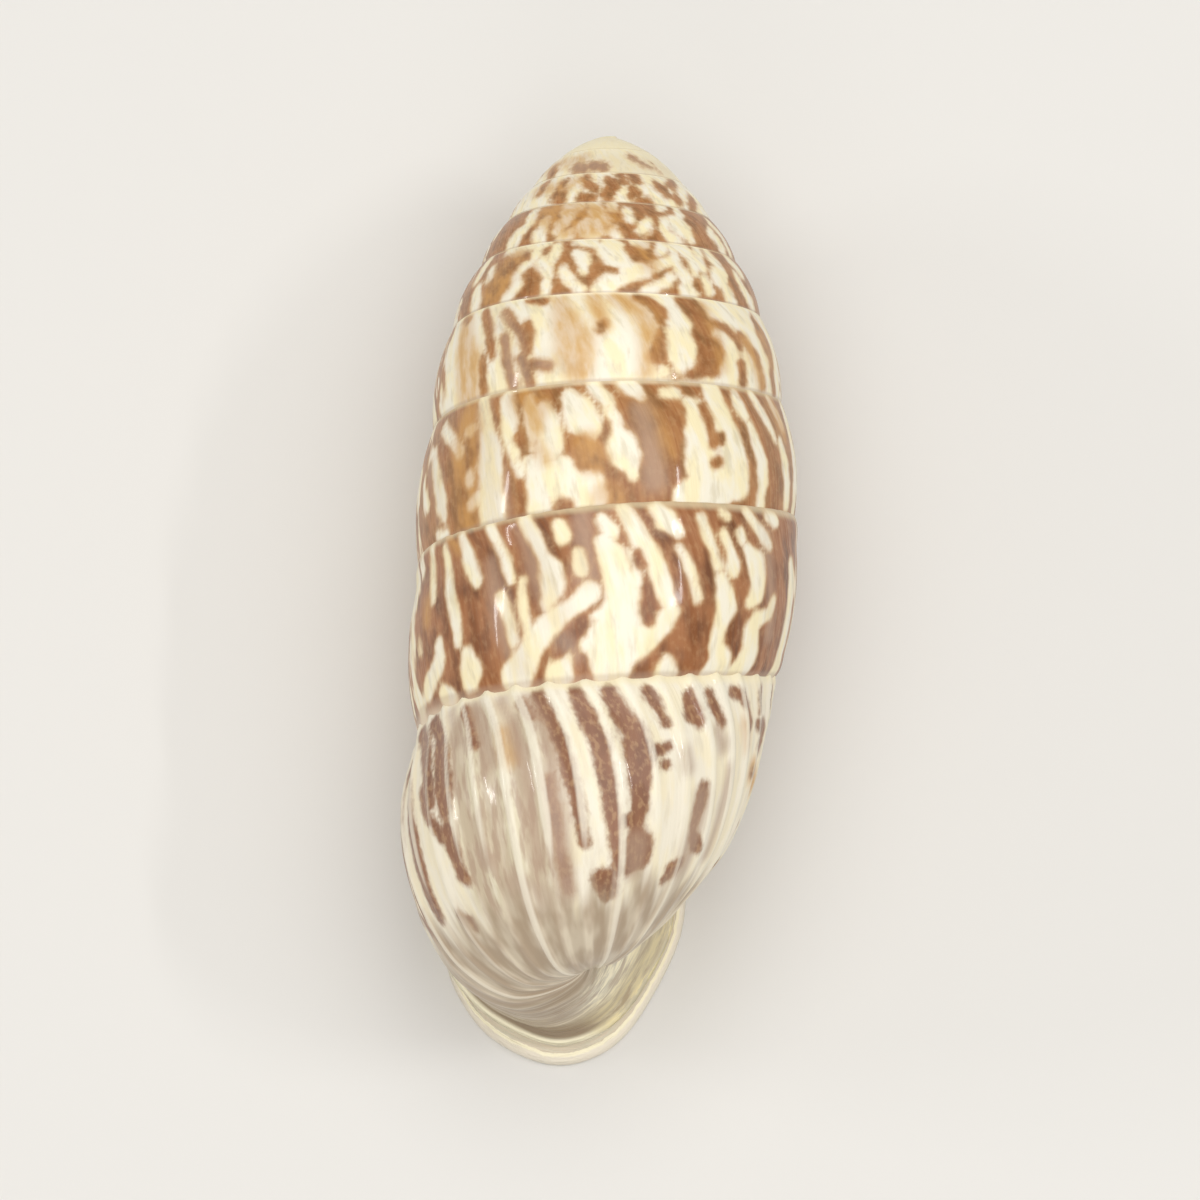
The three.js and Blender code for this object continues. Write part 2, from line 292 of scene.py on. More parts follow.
def ring_points(outlines: np.ndarray, shares: np.ndarray) -> np.ndarray:
    """Read closed smooth curves through the corners of some outlines.

    Args:
        outlines: Corners of each outline, as an array of outline, corner and pair.
        shares: Places round the outline, counted in corners.

    Returns:
        The points, as an array of outline, place and pair.
    """
    count = outlines.shape[1]
    index = np.floor(shares).astype(int)
    share = (shares - index)[None, :, None]
    before, here, after, beyond = (outlines[:, (index + step) % count] for step in (-1, 0, 1, 2))
    linear = (after - before) * share
    square = (2 * before - 5 * here + 4 * after - beyond) * share**2
    cube = (3 * here - before - 3 * after + beyond) * share**3
    return 0.5 * (2 * here + linear + square + cube)


def ripple(place: np.ndarray, seed: int, step: float) -> np.ndarray:
    """Give smooth irregular values along a line, from -1 to 1.

    Args:
        place: Places along the line.
        seed: Which of the irregular lines to read.
        step: Distance between two free values.

    Returns:
        The values at those places.
    """
    rng = np.random.default_rng(seed)
    values = rng.uniform(-1, 1, 4096)
    return blend(values, np.clip(place / step, 0, 4094))


@dataclass(frozen=True)
class Ribs:
    """Low ribs that run down the last whorl, from the suture to the columella."""

    per_turn: int = 32
    first_turn: float = 8.262
    height: float = 0.105
    sharpness: float = 3.2
    unevenness: float = 0.35
    wander: float = 0.1
    starts: float = 7.5
    full_after: float = 0.35
    neck_turns: tuple[float, float] = (8.54, 8.6)
    neck_loss: float = 0.6
    old_height: float = 0.014
    old_per_turn: int = 58
    old_wander: float = 0.4

    def lift(self, turn: np.ndarray) -> np.ndarray:
        """Give the height of the ribs and of the finer old ones.

        Args:
            turn: Number of the growth line at each place, counted in turns.

        Returns:
            The height at each place, in millimetres.
        """
        number = (turn - self.first_turn) * self.per_turn + self.wander * ripple(turn, 3, 0.05)
        bump = (0.5 + 0.5 * np.cos(2 * math.pi * number)) ** self.sharpness
        size = 1.0 + self.unevenness * ripple(turn, 5, 1.0 / self.per_turn)
        grown = smoothstep(self.starts, self.starts + self.full_after, turn)
        neck = 1.0 - self.neck_loss * smoothstep(*self.neck_turns, turn)
        old = turn * self.old_per_turn + self.old_wander * ripple(turn, 8, 0.04)
        fine = (0.5 + 0.5 * np.cos(2 * math.pi * old)) * (0.6 + 0.4 * ripple(turn, 9, 0.02))
        return self.height * bump * size * grown * neck + self.old_height * fine * (1 - grown)


class Winding:
    """A grid of rows round the axis, wound into a sheet of the shell."""

    def __init__(self, zone: Zone, turn: np.ndarray, across: np.ndarray, points: np.ndarray,
                 fields: dict[str, np.ndarray], covered: np.ndarray | None = None) -> None:
        """Keep the rows of one sheet.

        Args:
            zone: Which sheet this is.
            turn: Turn of each point.
            across: Place of each point across its whorl.
            points: Points of the frame, as an array of row, column and axis.
            fields: Three values of each point, by attribute name.
            covered: True for each point that a later whorl hides, where there are such points.
        """
        self.zone = zone
        self.turn = turn
        self.across = across
        self.points = points
        self.fields = fields
        self.covered = covered

    def wind(self) -> bpy.types.Object:
        """Make a flat grid and wind it to its place.

        Returns:
            The wound sheet.
        """
        rows, columns = self.turn.shape
        bpy.ops.object.select_all(action="DESELECT")
        bpy.ops.mesh.primitive_grid_add(
            x_subdivisions=rows - 1, y_subdivisions=columns - 1, size=2, calc_uvs=False)
        piece = bpy.context.active_object
        piece.name = self.zone.value
        mesh = piece.data
        flat = np.empty(len(mesh.vertices) * 3)
        mesh.vertices.foreach_get("co", flat)
        flat = flat.reshape(-1, 3)
        row = np.rint((flat[:, 0] + 1) / 2 * (rows - 1)).astype(int)
        column = np.rint((flat[:, 1] + 1) / 2 * (columns - 1)).astype(int)
        mesh.vertices.foreach_set("co", self.points[row, column].ravel())
        corners = np.empty(len(mesh.loops), dtype=np.int32)
        mesh.loops.foreach_get("vertex_index", corners)
        for name, values in self.fields.items():
            layer = mesh.attributes.new(name, "FLOAT_VECTOR", "CORNER")
            placed = values[row, column][corners]
            layer.data.foreach_set("vector", placed.astype(np.float32).ravel())
        mesh.update()
        if self.covered is not None:
            self.leave_out(piece, self.covered[row, column])
        return piece

    @staticmethod
    def leave_out(piece: bpy.types.Object, covered: np.ndarray) -> None:
        """Delete the points that a later whorl hides.

        Args:
            piece: The wound sheet.
            covered: True for each of its points that is hidden.
        """
        mesh = piece.data
        mesh.edges.foreach_set("select", np.zeros(len(mesh.edges), dtype=bool))
        mesh.polygons.foreach_set("select", np.zeros(len(mesh.polygons), dtype=bool))
        mesh.vertices.foreach_set("select", covered)
        bpy.ops.object.mode_set(mode="EDIT")
        bpy.ops.mesh.delete(type="VERT")
        bpy.ops.object.mode_set(mode="OBJECT")


@dataclass
class Spire:
    """The upper whorls, one sheet from the apex to the belly."""

    growth: Growth
    ribs: Ribs
    last_turn: float = 6.8
    fine_from: float = 3.0
    coarse_steps: int = 130
    fine_steps: int = 240
    columns: int = 27
    tuck: float = 0.3
    tuck_across: float = 1.02
    full_rib_radius: float = 5.0

    def rows(self) -> Winding:
        """Lay out the sheet's rows, with its lower and last edges tucked under.

        Returns:
            The sheet, ready to be wound.
        """
        coarse = np.arange(-1, self.fine_from - 0.001, 1 / self.coarse_steps)
        fine = np.arange(self.fine_from, self.last_turn - 0.001, 1 / self.fine_steps)
        turns = np.concatenate([coarse, fine, [self.last_turn, self.last_turn + SEAM_TURNS]])
        shares = np.append(np.linspace(0, 1, self.columns), self.tuck_across)
        turn, across = np.meshgrid(turns, shares, indexing="ij")
        radius, depth = self.growth.flank(turn, across)
        lines = self.growth.line(turn, across)
        lift = self.ribs.lift(lines) * np.sin(math.pi * np.clip(across, 0, 1))
        radius = radius + lift * np.clip(radius / self.full_rib_radius, 0, 1)
        radius[:, -1] = np.maximum(radius[:, -2] - self.tuck, 0)
        depth[:, -1] = depth[:, -2]
        radius[-1] -= self.tuck
        points = self.growth.place(turn, radius, depth, np.zeros_like(turn))
        fields = {"zones": np.zeros(turn.shape + (3,)),
                  "growth": np.stack([lines, across, lift / self.ribs.height], axis=-1)}
        return Winding(Zone.SPIRE, turn, across, points, fields)


@dataclass(frozen=True)
class Tooth:
    """A ridge on the wall of the hollow.

    It stands at a share round the outline, counted in corners, and runs between two places
    along the hollow. Its width is counted in corners and its height in millimetres.
    """

    share: float
    width: float
    start: float
    end: float
    height: float


@dataclass
class LastWhorl:
    """The last whorls in full section, the neck, the lip and the hollow behind it."""

    growth: Growth
    ribs: Ribs
    first_turn: float = 6.8
    steps_per_turn: int = 285
    rim_thickness: float = 0.3
    lip_width: float = 1.0
    lip_edge: float = 1.05
    lip_edge_depth: float = 0.3
    wall: float = 0.5
    neck_wall: float = 0.6
    whorl_wall: float = 1.0
    end_wall: float = 2.4
    end_turn: float = 8.33
    crest_height: float = 0.25
    crest_steps: tuple[tuple[float, float], ...] = ((1.0, 5.05), (1.5, 5.18), (0.6, 5.3))
    flare_steps: tuple[tuple[float, float], ...] = (
        (0.16, 0.05), (0.32, 0.07), (0.48, 0.06), (0.64, 0.02), (0.8, 0), (0.94, 0))
    below_spire: float = 0.15
    above_suture: float = 0.3
    line_advance: float = 0.027
    tooth: Tooth = Tooth(10.6, 0.35, 0.12, 0.75, 0.9)
    fold: Tooth = Tooth(8.7, 0.3, 0.2, 0.8, 0.6)
    corners: int = 12
    last_visible: int = 7
    last_outside: int = 6
    visible_steps: int = 11
    hidden_steps: int = 5
    cover: float = 0.25
    cover_angle: float = 0.85
    base_ribs: float = 0.4

    def shares(self) -> np.ndarray:
        """Give the places round an outline, closer together on the outside.

        Returns:
            The places, counted in corners.
        """
        outside = np.arange(0, self.last_visible, 1 / self.visible_steps)
        inside = np.arange(self.last_visible, self.corners, 1 / self.hidden_steps)
        return np.concatenate([outside, inside, [float(self.corners)]])

    def early_outline(self, turn: float) -> tuple[tuple[float, float], ...]:
        """Give the outline of a whorl that the next one covers from its suture down.

        Args:
            turn: Turn of the outline.

        Returns:
            Its corners, as pairs of radius and depth in millimetres.
        """
        places = np.array([0.0, 0.2, 0.5, 0.8, 1.0])
        radius, depth = self.growth.flank(np.full(5, turn), places)
        outer = [(radius[0] - 0.15, depth[0] - 0.28)] + list(zip(radius[1:4], depth[1:4]))
        outer.append((radius[4] - 0.1, depth[4]))
        low = depth[4]
        inner = [(3.6, low + 1.4), (1.9, low + 2.2), (0.5, low + 2.3), (0.06, low + 1.2),
                 (0.06, low - 2), (1.2, depth[0] + 1.4), (3.6, depth[0] + 0.3)]
        return tuple(outer + inner)

    def wound(self) -> Rings:
        """Lay out the outlines that follow the axis round, up to the widest place.

        Returns:
            The rings' turns, ways forward and outlines.
        """
        early = [Station(turn, 0, self.early_outline(turn)) for turn in (6.6, 6.8, 7.0, 7.2)]
        stations = early + [OLD_WHORL, LEFT_WHORL, BELLY_WHORL, RIGHT_WHORL, BACK_WHORL, WIDE_WHORL]
        marks = np.array([station.turn for station in stations])
        outlines = np.array([station.outline for station in stations])
        count = round((WIDE_WHORL.turn - self.first_turn) * self.steps_per_turn) + 1
        turns = np.linspace(self.first_turn, WIDE_WHORL.turn, count)
        turns = np.insert(turns, 0, self.first_turn - SEAM_TURNS)
        places = np.interp(turns, marks, np.arange(len(marks)))
        rings = blend(outlines, places)
        rings[0] = inset(rings[0], self.below_spire)
        return turns, np.zeros(count + 1), rings

    def neck(self, steps: int = 34) -> Rings:
        """Lay out the outlines from the widest place to the crest behind the lip.

        Args:
            steps: Number of rings.

        Returns:
            The rings' turns, ways forward and outlines.
        """
        stations = [BACK_WHORL, WIDE_WHORL, FIRST_NECK, SECOND_NECK, CREST]
        places = 1 + 3 * np.arange(1, steps + 1) / steps
        turns = blend(np.array([station.turn for station in stations]), places)
        forward = blend(np.array([station.forward for station in stations]), places)
        return turns, forward, blend(np.array([station.outline for station in stations]), places)

    def lip(self) -> Rings:
        """Lay out the crest, the flare, the rim and the flat face of the lip.

        Returns:
            The rings' turns, ways forward and outlines.
        """
        face = self.growth.mouth_forward
        crest = np.array(CREST.outline)
        rim = np.array(RIM)
        edge = face - self.rim_thickness - 0.05
        steps = [(inset(crest, -self.crest_height * share), way) for share, way in self.crest_steps]
        start = self.crest_steps[-1][1]
        for share, sunk in self.flare_steps:
            steps.append((crest * (1 - share) + rim * share, start + (edge - start) * share + sunk))
        steps += [
            (inset(rim, 0.03), face - self.rim_thickness + 0.03),
            (rim, face - self.rim_thickness * 0.55),
            (inset(rim, 0.03), face - 0.06),
            (inset(rim, 0.14), face),
            (inset(rim, self.lip_width * 0.5), face),
            (inset(rim, self.lip_width * 0.9), face),
            (inset(rim, self.lip_width * 1.02), face - 0.1),
            (inset(rim, self.lip_width * self.lip_edge), face - self.lip_edge_depth),
        ]
        outlines = np.array([outline for outline, _ in steps])
        forward = np.array([way for _, way in steps])
        return np.full(len(steps), CREST.turn), forward, outlines

    def hollow(self, steps: int = 26) -> Rings:
        """Lay out the inner wall, from the mouth back into the whorl.

        Args:
            steps: Number of rings.

        Returns:
            The rings' turns, ways forward and outlines.
        """
        mouth = inset(RIM, self.lip_width * self.lip_edge)
        stations = [(CREST.turn, self.growth.mouth_forward - self.lip_edge_depth, mouth)]
        for station, wall in ((CREST, self.wall), (SECOND_NECK, self.wall),
                              (FIRST_NECK, self.neck_wall), (WIDE_WHORL, self.whorl_wall)):
            stations.append((station.turn, station.forward, inset(station.outline, wall)))
        stations.append((self.end_turn, 0.0, inset(BACK_WHORL.outline, self.end_wall)))
        places = (len(stations) - 1) * np.arange(1, steps + 1) / steps
        turns, forward, outlines = (np.array(part) for part in zip(*stations))
        return blend(turns, places), blend(forward, places), blend(outlines, places)

    def toothed(self, rings: np.ndarray, stage: np.ndarray, within: np.ndarray,
                shares: np.ndarray) -> np.ndarray:
        """Raise the tooth and the fold from the wall of the hollow.

        Args:
            rings: Rings of radius and depth pairs.
            stage: Number of each ring's stretch.
            within: Place of each ring in its stretch.
            shares: Places round the outline, counted in corners.

        Returns:
            The rings with the tooth and the fold.
        """
        middle = rings[:, :-1].mean(axis=1, keepdims=True)
        toward = middle - rings
        toward /= np.maximum(np.linalg.norm(toward, axis=2, keepdims=True), 1e-6)
        rise = np.zeros(rings.shape[:2])
        along = np.where(stage == Stretch.HOLLOW.value, within, -1.0)
        for ridge in (self.tooth, self.fold):
            grown = smoothstep(ridge.start, ridge.start + 0.1, along)
            long = grown * (1 - smoothstep(ridge.end - 0.15, ridge.end, along))
            bell = np.exp(-(((shares - ridge.share) / ridge.width) ** 2))
            rise += ridge.height * long[:, None] * bell[None, :]
        return rings + toward * rise[..., None]

    def rows(self) -> Winding:
        """Lay out all the rings, closed at both ends.

        Returns:
            The sheet, ready to be wound.
        """
        stretches = [self.wound(), self.neck(), self.lip(), self.hollow()]
        turns, forward, outlines = (np.concatenate(part) for part in zip(*stretches))
        shares = self.shares()
        rings = ring_points(outlines, shares)
        counts = [len(part[0]) for part in stretches]
        stage = np.repeat([stretch.value for stretch in Stretch], counts)
        within = np.concatenate([np.arange(1, count + 1) / count for count in counts])
        rings = self.toothed(rings, stage, within, shares)
        first = np.repeat(rings[:1].mean(axis=1, keepdims=True), len(shares), axis=1)
        last = np.repeat(rings[-1:].mean(axis=1, keepdims=True), len(shares), axis=1)
        rings = np.concatenate([first, rings, last])
        turns = np.concatenate([turns[:1], turns, turns[-1:]])
        forward = np.concatenate([forward[:1], forward, forward[-1:]])
        stage = np.concatenate([stage[:1], stage, stage[-1:]])
        within = np.concatenate([within[:1], within, within[-1:]])
        turn = np.repeat(turns[:, None], len(shares), axis=1)
        across = self.along(rings, turn)
        way = np.repeat(forward[:, None], len(shares), axis=1)
        bare = self.growth.place(turn, rings[..., 0], rings[..., 1], way)
        advance = self.advance(bare[:, shares < self.last_outside], stage)
        lines = self.growth.line(np.minimum(turn, WIDE_WHORL.turn), across) + advance[:, None]
        lift = self.lift(lines, across, stage)
        lifted = self.ribbed(rings, lift)
        points = self.growth.place(turn, lifted[..., 0], lifted[..., 1], way)
        zones = np.stack([np.repeat(stage[:, None], len(shares), axis=1),
                          np.repeat(within[:, None], len(shares), axis=1),
                          np.repeat(shares[None, :], len(turns), axis=0)], axis=-1)
        growth = np.stack([lines, across, lift / self.ribs.height], axis=-1)
        covered = self.covered(rings, turns, forward, stage)
        fields = {"zones": zones, "growth": growth}
        return Winding(Zone.LAST_WHORL, turn, across, points, fields, covered)

    def advance(self, bare: np.ndarray, stage: np.ndarray) -> np.ndarray:
        """Carry the growth lines on over the neck and the lip, by the way between the rings.

        Args:
            bare: Points on the outside of the rings, without their ribs.
            stage: Number of each ring's stretch.

        Returns:
            What each ring adds to the number of its growth line.
        """
        gone = np.linalg.norm(np.diff(bare, axis=0), axis=2).mean(axis=1) / MM
        past = stage[1:] != Stretch.WOUND.value
        return np.cumsum(np.append(0.0, gone * past)) * self.line_advance

    def covered(self, rings: np.ndarray, turns: np.ndarray, forward: np.ndarray,
                stage: np.ndarray) -> np.ndarray:
        """Find the points of early rings that lie inside the whorl one turn later.

        Args:
            rings: Rings of radius and depth pairs.
            turns: Turn of each ring.
            forward: How far each ring lies in front of the widest place, in millimetres.
            stage: Number of each ring's stretch.

        Returns:
            True for each point that is covered.
        """
        hidden = np.zeros(rings.shape[:2], dtype=bool)
        wound = np.flatnonzero(stage == Stretch.WOUND.value)
        outer = (stage == Stretch.NECK.value) | (stage == Stretch.LIP.value)
        ahead = np.flatnonzero(outer & (forward < self.growth.mouth_forward - 0.1))
        angle = 2 * math.pi * (turns + 1 - WIDE_WHORL.turn)
        for index in wound:
            if turns[index] + 1 > WIDE_WHORL.turn:
                break
            later = wound[np.argmin(np.abs(turns[wound] - turns[index] - 1))]
            hidden[index] = enclosed(rings[index], inset(rings[later, :-1], self.cover))
        for index in wound:
            if not 0 < angle[index] < self.cover_angle * math.pi:
                continue
            way = rings[index, :, 0] * math.sin(angle[index])
            flat = rings[index] * np.array([math.cos(angle[index]), 1.0])
            nearest = ahead[np.argmin(np.abs(forward[ahead][None, :] - way[:, None]), axis=1)]
            for later in np.unique(nearest):
                pick = (nearest == later) & (way < forward[ahead[-1]] + 0.1)
                hidden[index, pick] = enclosed(flat[pick], inset(rings[later, :-1], self.cover))
        return hidden

    def lift(self, lines: np.ndarray, across: np.ndarray, stage: np.ndarray) -> np.ndarray:
        """Give the height of the ribs, of which few reach the base.

        Args:
            lines: Number of the growth line at each point.
            across: Place of each point across its whorl.
            stage: Number of each ring's stretch.

        Returns:
            The height in millimetres.
        """
        number = np.floor((lines - self.ribs.first_turn) * self.ribs.per_turn + 0.5)
        kept = 0.5 + 0.5 * np.sign(np.sin(number * 2.4 + 0.6) - 0.25)
        base = smoothstep(0.85, 1.35, across) * (stage == Stretch.WOUND.value)[:, None]
        left = self.base_ribs + (1 - self.base_ribs) * kept
        height = self.ribs.lift(lines) * (1 - base + base * left)
        return height * (stage <= Stretch.NECK.value)[:, None]

    @staticmethod
    def ribbed(rings: np.ndarray, lift: np.ndarray) -> np.ndarray:
        """Raise the ribs out of the rings.

        Args:
            rings: Rings of radius and depth pairs.
            lift: Height of the ribs at each point.

        Returns:
            The rings with their ribs.
        """
        ahead = np.roll(rings[:, :-1], -1, axis=1) - np.roll(rings[:, :-1], 1, axis=1)
        ahead = np.concatenate([ahead, ahead[:, :1]], axis=1)
        size = np.maximum(np.linalg.norm(ahead, axis=2, keepdims=True), 1e-6)
        outward = np.stack([ahead[..., 1], -ahead[..., 0]], axis=-1) / size
        taper = np.clip(rings[..., 0] / 2.5, 0, 1)
        return rings + outward * (lift * taper)[..., None]

    def along(self, rings: np.ndarray, turn: np.ndarray) -> np.ndarray:
        """Measure how far round the outline each point lies.

        Args:
            rings: Rings of radius and depth pairs.
            turn: Turn of each point.

        Returns:
            The way from the suture, in whorl heights.
        """
        steps = np.linalg.norm(np.diff(rings, axis=1), axis=2)
        length = np.concatenate([np.zeros((len(rings), 1)), np.cumsum(steps, axis=1)], axis=1)
        _, top = self.growth.suture(turn)
        _, low = self.growth.suture(turn + 1)
        return (length - self.above_suture) / (low - top)


class Tone(Enum):
    """The two tones of the pattern, as the side of its edge that they lie on."""

    PALE = 1.0
    BROWN = -1.0


@dataclass(frozen=True)
class Streak:
    """A streak or blotch, drawn on the winding through a few points.

    Each point holds its turn, its place across the whorl and the width there, in millimetres.
    """

    points: tuple[tuple[float, float, float], ...]
    thinnest: float = 0.38

    def inside(self, turn: np.ndarray, across: np.ndarray, around: float,
               down: float) -> np.ndarray:
        """Measure how deep each place lies inside the streak.

        Args:
            turn: Turn of each place.
            across: Where each place lies across its whorl.
            around: Millimetres in a turn.
            down: Millimetres across the whorl.

        Returns:
            The depth in millimetres, below 0 outside the streak.
        """
        x, y = turn * around, across * down
        corners = [(point[0] * around, point[1] * down, max(point[2], self.thinnest) / 2)
                   for point in self.points]
        if len(corners) == 1:
            corners.append(corners[0])
        best = np.full(turn.shape, -np.inf)
        for (x0, y0, half0), (x1, y1, half1) in zip(corners, corners[1:]):
            long = max((x1 - x0) ** 2 + (y1 - y0) ** 2, 1e-9)
            share = np.clip(((x - x0) * (x1 - x0) + (y - y0) * (y1 - y0)) / long, 0, 1)
            away = np.hypot(x - x0 - share * (x1 - x0), y - y0 - share * (y1 - y0))
            best = np.maximum(best, half0 + share * (half1 - half0) - away)
        return best


def streaks(*lines: tuple[tuple[float, float, float], ...]) -> tuple[Streak, ...]:
    """Make streaks from lines of points."""
    return tuple(Streak(line) for line in lines)


@dataclass(frozen=True)
class Drawing:
    """The streaks of one whorl's back, over a ground of the other tone."""

    whorl: int
    ground: Tone
    over: tuple[Streak, ...]
    restored: tuple[Streak, ...] = ()
    ochre: tuple[Streak, ...] = ()
    taupe: tuple[Streak, ...] = ()
    grey: tuple[Streak, ...] = ()
    ends: tuple[float, float] = (0.43, 0.47)


